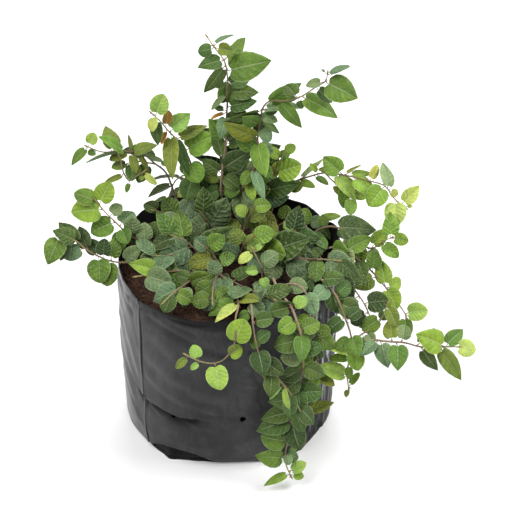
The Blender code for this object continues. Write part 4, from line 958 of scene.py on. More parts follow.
    planned("mat_back_left", DARK, 1.4, route="""
        -10 27 118, -10 27 137, -20 33 145, -31 38 148, -43 41 150, -54 41 153""", leaves="""
        27 -119 -28 -14 9.5 9 V, 28 -8 27 48 9 9 V, 30 24 51 39 9 8.5 V, 39 50 40 21 11.5 10.5 V,
        47 68 40 8 11 10.5 V, 49 -150 -17 -35 17 13.5 V, 52 138 36 -26 11 10.5 M""", small="""
        26 -52 -17 43 8 7.5 V, 33 155 59 -41 8.5 8 V, 36 -145 -7 -35 8.5 8 V, 58 -179 -27 -46 7 6.5 M,
        66 150 20 -25 8.5 8 D"""),
    planned("mat_back_high", DARK, 1.1, node="mat_back_left",
            habit=Habit((0, -0.8, 0.7), 22, 8.5, 9, -1, 60), route="""
        -10 27 137, -12 24 149, -15 20 160, -19 16 169"""),
    planned("mat_left", DARK, 1.4, route="""
        -18 -2 118, -18 -2 137, -29 4 145, -40 11 149, -51 17 151, -62 22 152""", leaves="""
        24 35 24 22 10.5 10 M, 34 -177 23 -41 15.5 11.5 P, 48 -160 -17 -29 10 9.5 M,
        54 154 23 -26 9.5 9 D""", small="""
        39 124 34 -17 8.5 8 U"""),
    planned("mat_left_high", DARK, 1.1, node="mat_left",
            habit=Habit((0, -0.6, 0.9), 22, 8.5, 9, 1, 60), route="""
        -18 -2 137, -22 -3 149, -30 -3 158, -40 -3 163"""),
    planned("mat_front_left", MID, 1.4, route="""
        -20 -20 118, -20 -20 137, -30 -23 146, -41 -28 149, -52 -33 151, -62 -37 152""", leaves="""
        22 129 32 -21 14.5 11.5 U, 27 18 38 41 10 8.5 O, 32 -139 -18 -29 12 11.5 M, 39 151 11 -36 12 10 D,
        52 176 26 -34 15 10 F, 62 -28 0 39 14 13 U"""),
    planned("mat_front", MID, 1.2, node="mat_front_left", route="""
        -20 -20 137, -22 -32 147, -28 -44 151, -35 -55 153, -42 -65 152""", leaves="""
        27 -5 24 77 10.5 9.5 M, 31 -97 -33 4 11 10 U, 37 -155 -12 -38 14 11.5 U, 44 -13 -25 31 9 8.5 M,
        46 -117 -33 -12 9 8.5 D""", small="""
        21 155 -1 -30 8 7.5 D"""),
    planned("mat_front_middle", DARK, 1.4, route="""
        -4 -16 118, -4 -16 137, -6 -28 147, -8 -41 151, -9 -53 153, -9 -65 152""", leaves="""
        20 -144 -8 -35 11 10 M, 52 -156 -21 -37 9.5 9 M, 62 -32 -19 24 10 9.5 M,
        70 179 -12 -34 9.5 9 M""", small="""
        19 -53 -26 40 9 8.5 U, 42 101 44 1 8.5 8 U, 67 -126 -36 -18 8 7.5 U"""),
    planned("mat_middle_high", BRIGHT, 1.1, node="mat_front_middle", route="""
        -4 -16 137, -7 -15 149, -12 -16 159, -19 -18 166""", leaves="""
        16 -154 2 -41 12 9.5 O, 26 12 40 44 10 9.5 F""", small="""
        11 5 24 34 8.5 8 B, 23 147 29 -32 9 8.5 U"""),
    planned("mat_centre", DARK, 1.4, route="""
        10 -4 118, 10 -4 137, 19 -4 147, 29 -3 151, 39 -1 153, 49 3 155""", leaves="""
        30 -36 -18 32 12.5 11.5 U, 35 132 39 -22 9.5 9 M, 39 -27 8 48 16.5 15 F, 46 -27 -24 35 16 12.5 D,
        57 -21 5 42 21.5 14.5 U, 62 28 25 35 9.5 9 F""", small="""
        53 103 32 -1 7 7 M"""),
    planned("mat_centre_high", MID, 1.1, node="mat_centre", route="""
        10 -4 137, 10 -6 149, 13 -9 160, 19 -12 168""", leaves="""
        9 173 34 -35 10 9.5 U, 20 0 25 46 11.5 9.5 B, 21 152 39 -35 9 8.5 O,
        32 7 18 33 11 10 F"""),
    planned("mat_centre_back", BRIGHT, 1.2, route="""
        6 20 118, 6 20 137, 11 20 149, 15 20 160, 18 19 171""", leaves="""
        29 156 36 -37 11.5 9 O, 42 16 36 31 11 8.5 O, 55 9 11 32 9 8.5 F""", small="""
        47 169 39 -34 7.5 7 B"""),
    planned("mat_right", BRIGHT, 1.4, route="""
        28 14 118, 28 14 137, 37 17 147, 47 21 150, 57 25 152, 66 28 154""", leaves="""
        25 -33 -8 41 12.5 11.5 F, 33 154 23 -26 11 10.5 O, 38 28 39 35 12.5 9 B, 51 49 55 37 9 8.5 F,
        53 -40 -21 19 11 8 F, 64 -39 -25 9 11.5 6 D, 65 9 11 12 11.5 6.5 F""", small="""
        57 -8 9 44 7.5 7 U"""),
    planned("mat_back_right", BRIGHT, 1.1, node="mat_right", route="""
        28 14 137, 33 24 146, 41 33 148, 50 39 149""", leaves="""
        14 130 55 -11 15 9.5 O""", small="""
        27 78 52 0 8 7.5 M, 29 -29 -4 28 7 6.5 Y"""),
    planned("mat_front_right", DARK, 1.4, route="""
        27 -11 118, 27 -11 137, 37 -13 147, 47 -17 152, 58 -22 156, 68 -25 158, 78 -28 159""", leaves="""
        33 -121 -33 -15 10.5 10 U, 43 -46 -19 26 17 13 U, 52 107 36 -4 10 9.5 D, 58 -33 -36 32 15 11 E,
        65 -97 -31 4 11.5 8.5 M, 69 -22 -9 39 14.5 14 U, 78 -17 -29 40 13 8.5 D""", small="""
        73 134 32 -24 6 5.5 D"""),
    planned("mat_right_high", DARK, 1.1, node="mat_front_right",
            habit=Habit((0, -0.6, 0.9), 22, 8.5, 9, -1, 60), route="""
        27 -11 137, 32 -9 150, 39 -7 161, 48 -6 168"""),
    planned("front_sprout", BRIGHT, 1.0, route="""
        21 -29 118, 21 -29 137, 25 -36 148, 24 -35 160, 19 -31 170""", leaves="""
        45 18 30 40 11 10.5 U, 56 -143 -19 -21 9.5 6.5 Y""", small="""
        37 -64 -34 11 6.5 6 B, 41 -162 10 -34 7.5 6.5 B, 56 12 31 33 4 4 B"""),
    planned("back_trail_middle", MID, 1.3, habit=Habit((0, 1, 0.4), 20, 9, 26, 1, 60), route="""
        -8 58 118, -8 58 137, -10 68 153, -12 79 157, -14 90 149, -15 97 136, -15 101 122"""),
    planned("back_trail_right", MID, 1.3, habit=Habit((0, 1, 0.4), 20, 9, 26, -1, 60), route="""
        14 60 118, 14 60 137, 17 69 152, 21 80 155, 25 90 146, 28 97 133, 29 101 120"""),
    planned("back_trail_left", MID, 1.3, habit=Habit((-0.3, 1, 0.4), 20, 9, 26, 1, 60), route="""
        -24 62 118, -24 62 137, -29 71 154, -35 80 156, -41 88 147, -45 93 133, -47 96 119"""),
    planned("back_upright", DARK, 1.3, habit=Habit((0, 0.7, 0.7), 22, 9.5, 30, -1, 60), route="""
        1 52 118, 1 52 137, -1 57 155, -3 60 173, -4 61 190, -4 61 205"""),
)

COVERED = {
    "front_trail": (70, 205, 10, "DMDE"), "front_trail_side": (26, 120, 12, "DMDU"),
    "front_middle": (84, 146, 11, "EDDM"), "right_trail": (30, 118, 11, "DMDF"),
    "right_middle": (40, 126, 14, "MFDF"), "leader": (58, 130, 12, "DUDM"),
    "leader_right": (30, 100, 12, "DUMD"),
}
OVER_SOIL = Habit((0.05, -0.5, 0.85), 18, 7.5, 5, 1, 66)
TWIGS = (
    planned("mat_low_middle", DARK, 0.9, node="mat_front_middle", habit=OVER_SOIL, route="""
        -6 -28 147, 4 -36 147, 14 -44 147, 24 -52 147, 33 -58 148"""),
    planned("mat_low_left", DARK, 0.8, node="mat_left", habit=OVER_SOIL, route="""
        -29 4 145, -34 -8 150, -42 -14 153, -52 -17 155"""),
    planned("mat_low_side", DARK, 0.8, node="mat_right", habit=OVER_SOIL, route="""
        57 25 152, 60 14 153, 62 5 154"""),
)

NUDGED_SCALES = ((1.0, 0), (0.93, 0.8), (0.86, 1.6), (0.78, 2.6), (0.68, 4))
NUDGED_TURNS = ((0, 0), (6, 0.5), (-6, 0.5), (13, 1.3), (-13, 1.3), (22, 2.6), (-22, 2.6))
NUDGED_LIFTS = ((0, 0), (6, 0.3), (-6, 0.3), (12, 0.8), (-12, 0.8), (20, 1.7), (-20, 1.7), (30, 3))
NUDGED_SHIFTS = ((0, 0), (1.5, 0.4), (-1.5, 0.4), (3, 1), (-3, 1), (5, 2.2), (-5, 2.2))
NUDGES = sorted(itertools.product(NUDGED_SCALES, NUDGED_TURNS, NUDGED_LIFTS, NUDGED_SHIFTS),
                key=lambda nudge: sum(cost for _, cost in nudge))


class Stems:
    """Smooth routes of stems, their thickness and places along them."""

    @staticmethod
    def path(route: tuple, step: float) -> list[Vector]:
        """Points of a smooth curve through a route's own points.

        Args:
            route: The route's points in millimetres.
            step: The distance between the curve's points, in metres.

        Returns:
            The curve's points in metres.
        """
        points = [Vector(point) * MM for point in route]
        ends = [2 * points[0] - points[1], *points, 2 * points[-1] - points[-2]]
        path = [points[0]]
        for a, b, c, d in zip(ends, ends[1:], ends[2:], ends[3:]):
            count = max(1, round((c - b).length / step))
            for part in range(1, count + 1):
                t = part / count
                path.append(0.5 * (2 * b + (c - a) * t + (2 * a - 5 * b + 4 * c - d) * t * t
                                   + (3 * b - a - 3 * c + d) * t ** 3))
        return path

    @staticmethod
    def length(path: list[Vector]) -> float:
        """The length of a path."""
        return sum((b - a).length for a, b in zip(path, path[1:]))

    @staticmethod
    def radii(thick: float, tip: float, count: int, thinning: float = 1.5) -> list[float]:
        """Radius at each of a stem's points, thinning from thick to the tip."""
        return [thick + (tip - thick) * (i / (count - 1)) ** thinning for i in range(count)]

    @staticmethod
    def along(path: list[Vector], distance: float) -> tuple[Vector, Vector]:
        """A place on a path.

        Args:
            path: The path's points.
            distance: How far the place is from its start.

        Returns:
            The point and the direction there.
        """
        for a, b in zip(path, path[1:]):
            step = (b - a).length
            if distance <= step:
                return a + (b - a) * (distance / step), (b - a).normalized()
            distance -= step
        return path[-1].copy(), (path[-1] - path[-2]).normalized()

    @staticmethod
    def sleeve(path: list[Vector], radii: list[float], margin: float) -> tuple[list, list]:
        """A square sleeve round a stem.

        Args:
            path: The stem's points.
            radii: Its radius at each point.
            margin: How far the sleeve stands off it.

        Returns:
            The sleeve's corners and polygons.
        """
        solid = []
        for i, point in enumerate(path):
            ahead = (path[min(i + 1, len(path) - 1)] - path[max(i - 1, 0)]).normalized()
            side = ahead.orthogonal().normalized()
            other = ahead.cross(side)
            reach = radii[i] + margin
            solid += [point + side * reach, point + other * reach, point - side * reach,
                      point - other * reach]
        polygons = [[4 * i + k, 4 * i + (k + 1) % 4, 4 * i + 4 + (k + 1) % 4, 4 * i + 4 + k]
                    for i in range(len(path) - 1) for k in range(4)]
        return solid, polygons


@dataclass
class Growth:
    """Where every leaf stands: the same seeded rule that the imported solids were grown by."""

    pot: PotForm
    step: float = 0.016
    tip: float = 0.0006
    thickness: float = 0.0008
    large_blade: float = 0.0242
    large_outline: tuple = ((0.80, 0.68), (0.42, 1.0), (0.06, 0.66))
    small_outline: tuple = ((0.70, 0.86), (0.18, 0.88))
    middle: float = 0.42
    young: float = 0.030
    young_size: float = 0.62
    young_spread: float = 0.72
    young_gap: float = 0.75
    tip_leaf: tuple = (0.6, 16)
    tip_room: float = 0.001
    sizes: tuple = (0.80, 1.12)
    gaps: tuple = (0.82, 1.18)
    folds: tuple = (0.08, 0.30)
    droops: tuple = (0.04, 0.22)
    widths: tuple = (0.34, 0.42)
    least_stalk: float = 0.0025
    stalk_share: float = 0.06
    cover_sizes: tuple = (0.0125, 0.0175)
    cover_spread: tuple = (4, 34)
    cover_gaps: tuple = (0.7, 1.3)
    clearance: float = 0.0004
    floor_room: float = 0.002
    film_room: float = 0.0022
    rim_room: float = 0.0015
    soil_room: float = 0.0020
    scales: tuple = (1.0, 0.88, 0.76, 0.64)
    lifts: tuple = (0, 10, -10, 22, -22, 36, -34, 54)
    angles: tuple = (0, 20, -20, 38)
    stems: list = field(default_factory=list)
    placed: list = field(default_factory=list)
    leaves: dict = field(default_factory=dict)

    def outline(self, leaf: Leaf) -> list[tuple[float, float]]:
        """The rim of a leaf's plain solid, from its tip round to its tip."""
        points = self.large_outline if leaf.length >= self.large_blade else self.small_outline
        rim = [(leaf.stalk + leaf.length, 0.0)]
        rim += [(leaf.stalk + u * leaf.length, v * leaf.half_width) for u, v in points]
        rim.append((0.0, 0.0))
        rim += [(u, -v) for u, v in reversed(rim[1:-1])]
        return rim

    def solid(self, leaf: Leaf, margin: float = 0.0) -> tuple[list, list]:
        """A leaf's plain solid.

        Args:
            leaf: The leaf.
            margin: How far it is grown on every side.

        Returns:
            Its corners and polygons.
        """
        rim = self.outline(leaf)
        count = len(rim)
        root = count // 2
        middle = leaf.stalk + self.middle * leaf.length
        corners = []
        for level in (0, 1):
            height = (level - 0.5) * (self.thickness + 2 * margin)
            for u, v in rim:
                u += math.copysign(margin, u - middle) if u > 0 else 0.0
                v += math.copysign(margin, v) if v else 0.0
                corners.append(leaf.point(u, v, height))
            corners.append(leaf.point(middle, 0.0, height))
        fan = [(i, (i + 1) % count, count) for i in range(count) if i not in (root - 1, root)]
        fan += [(root - 1, root, root + 1), (root - 1, root + 1, count)]
        polygons = [list(face) for face in fan]
        polygons += [[i + count + 1 for i in reversed(face)] for face in fan]
        polygons += [[i, (i + 1) % count, (i + 1) % count + count + 1, i + count + 1] for i in range(count)]
        return corners, polygons

    def pot_is_clear(self, leaf: Leaf) -> bool:
        """Whether points all over a leaf stay off the floor, the film and the soil."""
        for i in range(1, 9):
            u = leaf.stalk + leaf.length * i / 8
            for v in (-1, -0.5, 0, 0.5, 1):
                point = leaf.point(u, v * leaf.half_width, 0)
                if point.z < self.floor_room:
                    return False
                angle = math.degrees(math.atan2(point.y, point.x))
                distance = math.hypot(point.x, point.y) - self.pot.wall_radius(angle, max(0.0, point.z))
                if abs(distance) < self.film_room and point.z < self.pot.rim_height(angle) + self.rim_room:
                    return False
                if distance < 0 and point.z < self.pot.soil_height(point.x, point.y) + self.soil_room:
                    return False
        return True

    def clear(self, leaf: Leaf, own_node: str) -> bool:
        """Whether a leaf misses the pot, other nodes' stems and all placed leaves.

        Args:
            leaf: The leaf.
            own_node: The node whose stems it may touch.

        Returns:
            True where it misses them all.
        """
        if not self.pot_is_clear(leaf):
            return False
        corners, polygons = self.solid(leaf, self.clearance)
        tree = BVHTree.FromPolygons(corners, polygons)
        reach = leaf.length + leaf.stalk
        for root, other_reach, other in self.placed:
            if (root - leaf.root).length < reach + other_reach and tree.overlap(other):
                return False
        return not any(node != own_node and tree.overlap(other) for node, other in self.stems)

    def stalk(self, size: float) -> float:
        """Length of the stalk of a leaf of one size."""
        return self.least_stalk + self.stalk_share * size

    def aim(self, shoot: Shoot, draw: dict[str, Any], root: Vector, ahead: Vector, side: int,
            size: float, angle: float, lift: float) -> Leaf:
        """A leaf at an angle from its stem, lifted out of the plane of the shoot.

        Args:
            shoot: The shoot.
            draw: The leaf's own chances: its sag, tilt, shape, fold and droop.
            root: Where its stalk leaves the stem.
            ahead: The stem's direction there.
            side: 1 or -1, the rank that it stands in.
            size: The length of its blade.
            angle: Its angle from the stem, in degrees.
            lift: Its angle out of the plane, in degrees.

        Returns:
            The leaf.
        """
        face = Vector(shoot.habit.face)
        face = (face - ahead * face.dot(ahead)).normalized()
        across = ahead.cross(face) * side
        along = ahead * math.cos(math.radians(angle)) + across * math.sin(math.radians(angle))
        along = along * math.cos(math.radians(lift)) + face * math.sin(math.radians(lift))
        along.z -= draw["sag"]
        along.normalize()
        normal = face * 0.85 + UP * 0.45 + draw["tilt"]
        normal = (normal - along * normal.dot(along)).normalized()
        return Leaf(root, along, normal, size, size * draw["shape"], self.stalk(size), draw["fold"],
                    draw["droop"])

    def place(self, shoot: Shoot, seed: str, root: Vector, ahead: Vector, side: int, size: float,
              angle: float) -> Leaf | None:
        """Tries a fixed list of turns and sizes for one leaf.

        Args:
            shoot: The shoot.
            seed: What its chances are drawn from.
            root: Where its stalk leaves the stem.
            ahead: The stem's direction there.
            side: 1 or -1, the rank that it stands in.
            size: The length that its blade should have.
            angle: Its angle from the stem, in degrees.

        Returns:
            The first leaf that is clear of all else, or None.
        """
        seeded = random.Random(seed)
        draw = {
            "sag": seeded.uniform(0.0, 0.3),
            "tilt": Vector([seeded.uniform(-0.35, 0.35) for _ in range(3)]),
            "shape": seeded.uniform(*self.widths),
            "fold": seeded.uniform(*self.folds),
            "droop": seeded.uniform(*self.droops),
        }
        angle += seeded.uniform(-14, 14)
        lift = seeded.uniform(-6, 16)
        for scale, more_lift, more_angle in itertools.product(self.scales, self.lifts, self.angles):
            leaf = self.aim(shoot, draw, root, ahead, side, size * scale, angle + more_angle,
                            lift + more_lift)
            if self.clear(leaf, shoot.node):
                return leaf
        return None

    def nudged(self, shoot: Shoot, count: int, path: list[Vector], row: tuple) -> Leaf | None:
        """Places a set leaf, changed by the least that makes it clear.

        Args:
            shoot: The shoot.
            count: The leaf's number on it.
            path: The points of the stem.
            row: The leaf's row in the planting plan.

        Returns:
            The leaf, or None where no change makes it clear.
        """
        seeded = random.Random(f"{shoot.name} {count}")
        fold = seeded.uniform(*self.folds)
        droop = seeded.uniform(*self.droops)
        distance, heading, rise, roll, length, width, _ = row
        along = Vector((1, 0, 0))
        along.rotate(Euler((0, -math.radians(rise), math.radians(heading))))
        upper = (UP - along * along.z).normalized()
        normal = Quaternion(along, math.radians(roll)) @ upper
        for (scale, _), (turn, _), (lift, _), (shift, _) in NUDGES:
            root, _ = Stems.along(path, (distance + shift) * MM)
            ahead = Quaternion(normal, math.radians(turn)) @ along
            raised = Quaternion(ahead.cross(normal), math.radians(lift))
            size = length * MM * scale
            leaf = Leaf(root, raised @ ahead, raised @ normal, size, width * MM * scale / 2,
                        self.stalk(size), fold, droop)
            if self.clear(leaf, shoot.node):
                return leaf
        return None

    def keep(self, leaf: Leaf | None, shoot: Shoot, count: int, reach: float, tone: str = "",
             small: bool = False) -> None:
        """Keeps a leaf that found its place, so that later ones are turned clear of it.

        Args:
            leaf: The leaf, or None where no place was clear.
            shoot: Its shoot.
            count: Its number on the shoot.
            reach: How far along the stem it stands, from 0 to 1.
            tone: The letter of its tone, or nothing where its age gives it.
            small: Whether the solids leave it out.
        """
        if leaf:
            leaf.shoot, leaf.count, leaf.reach, leaf.tone, leaf.small = shoot.name, count, reach, tone, small
            tree = BVHTree.FromPolygons(*self.solid(leaf))
            self.placed.append((leaf.root, leaf.length + leaf.stalk, tree))
            self.leaves[shoot.node].append(leaf)

    def set(self, shoot: Shoot, wanted: tuple, first: int = 0, small: bool = False) -> None:
        """Sets leaves one by one along a stem.

        Args:
            shoot: The shoot.
            wanted: The leaves' rows.
            first: The first leaf's number.
            small: Whether the solids leave them out.
        """
        path = Stems.path(shoot.route, self.step)
        for count, row in enumerate(wanted, first):
            leaf = self.nudged(shoot, count, path, row)
            self.keep(leaf, shoot, count, row[0] * MM / Stems.length(path), row[6], small)

    def grow(self, shoot: Shoot) -> None:
        """Grows alternate leaves in two ranks along a stem, smaller near its tip, with one at the tip."""
        path = Stems.path(shoot.route, self.step)
        total = Stems.length(path)
        habit = shoot.habit
        distance = habit.bare * MM
        side = habit.side
        count = 0
        while distance < total:
            seeded = random.Random(f"{shoot.name} gap {count}")
            to_tip = min(1.0, (total - distance) / self.young)
            grown = self.young_size + (1 - self.young_size) * to_tip
            size = habit.leaf * MM * grown * seeded.uniform(*self.sizes)
            spread = habit.spread * (self.young_spread + (1 - self.young_spread) * to_tip)
            root, ahead = Stems.along(path, distance)
            leaf = self.place(shoot, f"{shoot.name} {count}", root, ahead, side, size, spread)
            self.keep(leaf, shoot, count, distance / total)
            apart = self.young_gap + (1 - self.young_gap) * to_tip
            distance += habit.gap * MM * seeded.uniform(*self.gaps) * apart
            side = -side
            count += 1
        root, ahead = Stems.along(path, total - self.tip_room)
        share, spread = self.tip_leaf
        leaf = self.place(shoot, f"{shoot.name} {count}", root, ahead, side, habit.leaf * MM * share, spread)
        self.keep(leaf, shoot, count, 1.0)

    def cover(self, shoot: Shoot, first: float, last: float, gap: float, tones: str) -> None:
        """Lays leaves along a stem that hide parts of it.

        Args:
            shoot: The shoot.
            first: Where they start, in millimetres from the stem's root.
            last: Where they end.
            gap: The distance between them.
            tones: The letters of their tones.
        """
        path = Stems.path(shoot.route, self.step)
        seeded = random.Random(f"{shoot.name} cover")
        side = 1
        count = 0
        while first < last:
            root, ahead = Stems.along(path, first * MM)
            size = seeded.uniform(*self.cover_sizes)
            leaf = self.place(shoot, f"{shoot.name} cover {count} {side}", root, ahead, side, size,
                              seeded.uniform(*self.cover_spread))
            if leaf:
                reach = first * MM / Stems.length(path)
                self.keep(leaf, shoot, -2, reach, seeded.choice(tones), small=True)
                count += 1
            first += gap * seeded.uniform(*self.cover_gaps)
            side = -side

    def everything(self) -> dict[str, list[Leaf]]:
        """The leaves of every node: first those of the solids, then the small ones."""
        for shoot in SHOOTS:
            path = Stems.path(shoot.route, self.step)
            radii = Stems.radii(shoot.radius * MM, self.tip, len(path))
            self.stems.append((shoot.node, BVHTree.FromPolygons(*Stems.sleeve(path, radii, self.clearance))))
            self.leaves.setdefault(shoot.node, [])
        for shoot in sorted(SHOOTS, key=lambda shoot: not shoot.leaves):
            if shoot.leaves:
                self.set(shoot, shoot.leaves)
            else:
                self.grow(shoot)
        for shoot in SHOOTS:
            self.set(shoot, shoot.small, 100, True)
        for twig in TWIGS:
            self.grow(twig)
        for shoot in SHOOTS:
            if shoot.name in COVERED:
                self.cover(shoot, *COVERED[shoot.name])
        return self.leaves


@dataclass
class Model:
    """A finished small mesh, as arrays that are copied into bigger pieces."""

    places: np.ndarray
    corners: np.ndarray
    starts: np.ndarray
    map: np.ndarray
    slots: np.ndarray

    @classmethod
    def of(cls, made: Object) -> "Model":
        """The arrays of an object, which is then removed."""
        mesh = made.data
        corners = Workshop.numbers(mesh.loops, "vertex_index")
        starts = Workshop.numbers(mesh.polygons, "loop_start")
        slots = Workshop.numbers(mesh.polygons, "material_index")
        uv = np.zeros(len(corners) * 2)
        if mesh.uv_layers:
            uv = Workshop.numbers(mesh.uv_layers.active.uv, "vector", 2, float)
        places = Workshop.places(made)
        bpy.data.objects.remove(made)
        return cls(places, corners, starts, uv.reshape(-1, 2), slots)


@dataclass
class Batch:
    """Copies of models gathered into one mesh."""

    copies: list = field(default_factory=list)
    count: int = 0
    loops: int = 0

    def add(self, model: Model, places: np.ndarray, slot: int | None = None,
            tone: tuple = (0.1, 0.1, 0.1, 0.5), age: Any = 0.0) -> None:
        """Adds one copy.

        Args:
            model: The mesh that is copied.
            places: Where the copy's corners go.
            slot: The copy's material slot, or None to keep the model's own.
            tone: Its leaf colour, and which half of the blade takes painted shade.
            age: Its stem age, one number or one for each corner.
        """
        size = len(places)
        slots = model.slots if slot is None else np.full(len(model.slots), slot)
        tones = np.tile(tone, (size, 1))
        ages = np.broadcast_to(np.asarray(age, dtype=float), (size,))
        self.copies.append((places, model.corners + self.count, model.starts + self.loops, model.map,
                            slots, tones, ages))
        self.count += size
        self.loops += len(model.corners)

    def build(self, name: str, materials: list[Material], degrees: float) -> Object:
        """One object of all the copies.

        Args:
            name: The piece's name.
            materials: Its materials in the order of the slots.
            degrees: Edges sharper than this stay sharp.

        Returns:
            The new object.
        """
        mesh = bpy.data.meshes.new(name)
        gathered = [np.concatenate(kind) for kind in zip(*self.copies)]
        places, corners, starts, maps, slots, tones, ages = gathered
        mesh.vertices.add(self.count)
        mesh.vertices.foreach_set("co", places.ravel())
        mesh.loops.add(self.loops)
        mesh.loops.foreach_set("vertex_index", corners)
        mesh.polygons.add(len(starts))
        mesh.polygons.foreach_set("loop_start", starts)
        mesh.polygons.foreach_set("material_index", slots)
        mesh.update(calc_edges=True)
        mesh.uv_layers.new(name=LEAF_MAP).uv.foreach_set("vector", maps.ravel())
        mesh.attributes.new(TONE, "FLOAT_COLOR", "POINT").data.foreach_set("color", tones.ravel())
        mesh.attributes.new(AGE, "FLOAT", "POINT").data.foreach_set("value", ages)
        for made in materials:
            mesh.materials.append(made)
        piece = bpy.data.objects.new(name, mesh)
        bpy.context.scene.collection.objects.link(piece)
        Workshop.smooth(piece, degrees)
        return piece


@dataclass
class Tube:
    """A round tube that is modelled once and then led along each stem, stalk, root or fibre."""

    sides: int
    rings: int
    model: Model = field(init=False)

    def __post_init__(self) -> None:
        """Models the tube upright, from z 0 to 1, with radius 1."""
        made = Workshop.added(bpy.ops.mesh.primitive_cylinder_add, "tube", vertices=self.sides,
                              radius=1, depth=1, location=(0, 0, 0.5), end_fill_type="NGON")
        bpy.ops.object.transform_apply(location=True)
        if self.rings > 1:
            Workshop.pick(made, "EDGE", lambda a, b: abs(a.z - b.z) > 0.5)
            bpy.ops.mesh.subdivide(number_cuts=self.rings - 1)
            Workshop.close()
        self.model = Model.of(made)

    def led(self, path: list[Vector], radii: Any) -> tuple[np.ndarray, np.ndarray]:
        """The tube led along a path.

        Args:
            path: The points of its middle line.
            radii: Its radius at each point.

        Returns:
            The corners' places, and how far along the path each one is, from 0 to 1.
        """
        line = np.array([tuple(p) for p in path])
        gaps = np.linalg.norm(np.diff(line, axis=0), axis=1)
        far = np.concatenate(([0.0], np.cumsum(gaps)))
        far /= far[-1]
        marks = np.linspace(0, 1, self.rings + 1)
        centre = np.stack([np.interp(marks, far, line[:, k]) for k in range(3)], axis=1)
        reach = np.interp(marks, far, radii)
        ahead = np.gradient(centre, axis=0)
        ahead /= np.linalg.norm(ahead, axis=1)[:, None]
        side = np.array(Vector(ahead[0]).orthogonal().normalized())
        sides = []
        for direction in ahead:
            side = side - direction * side.dot(direction)
            side = side / np.linalg.norm(side)
            sides.append(side)
        across = np.array(sides)
        other = np.cross(ahead, across)
        share = self.model.places[:, 2]
        ring = np.clip(np.rint(share * self.rings).astype(int), 0, self.rings)
        x = self.model.places[:, 0:1] * reach[ring][:, None]
        y = self.model.places[:, 1:2] * reach[ring][:, None]
        return centre[ring] + across[ring] * x + other[ring] * y, share


ROUND_BLADE = ((0.0, 0.54), (0.09, 0.85), (0.24, 1.0), (0.44, 1.02), (0.62, 0.92), (0.79, 0.70),
               (0.92, 0.38), (1.0, 0.0))
POINTED_BLADE = ((0.0, 0.52), (0.08, 0.84), (0.21, 1.0), (0.40, 1.0), (0.60, 0.82), (0.79, 0.50),
                 (0.92, 0.20), (1.0, 0.0))


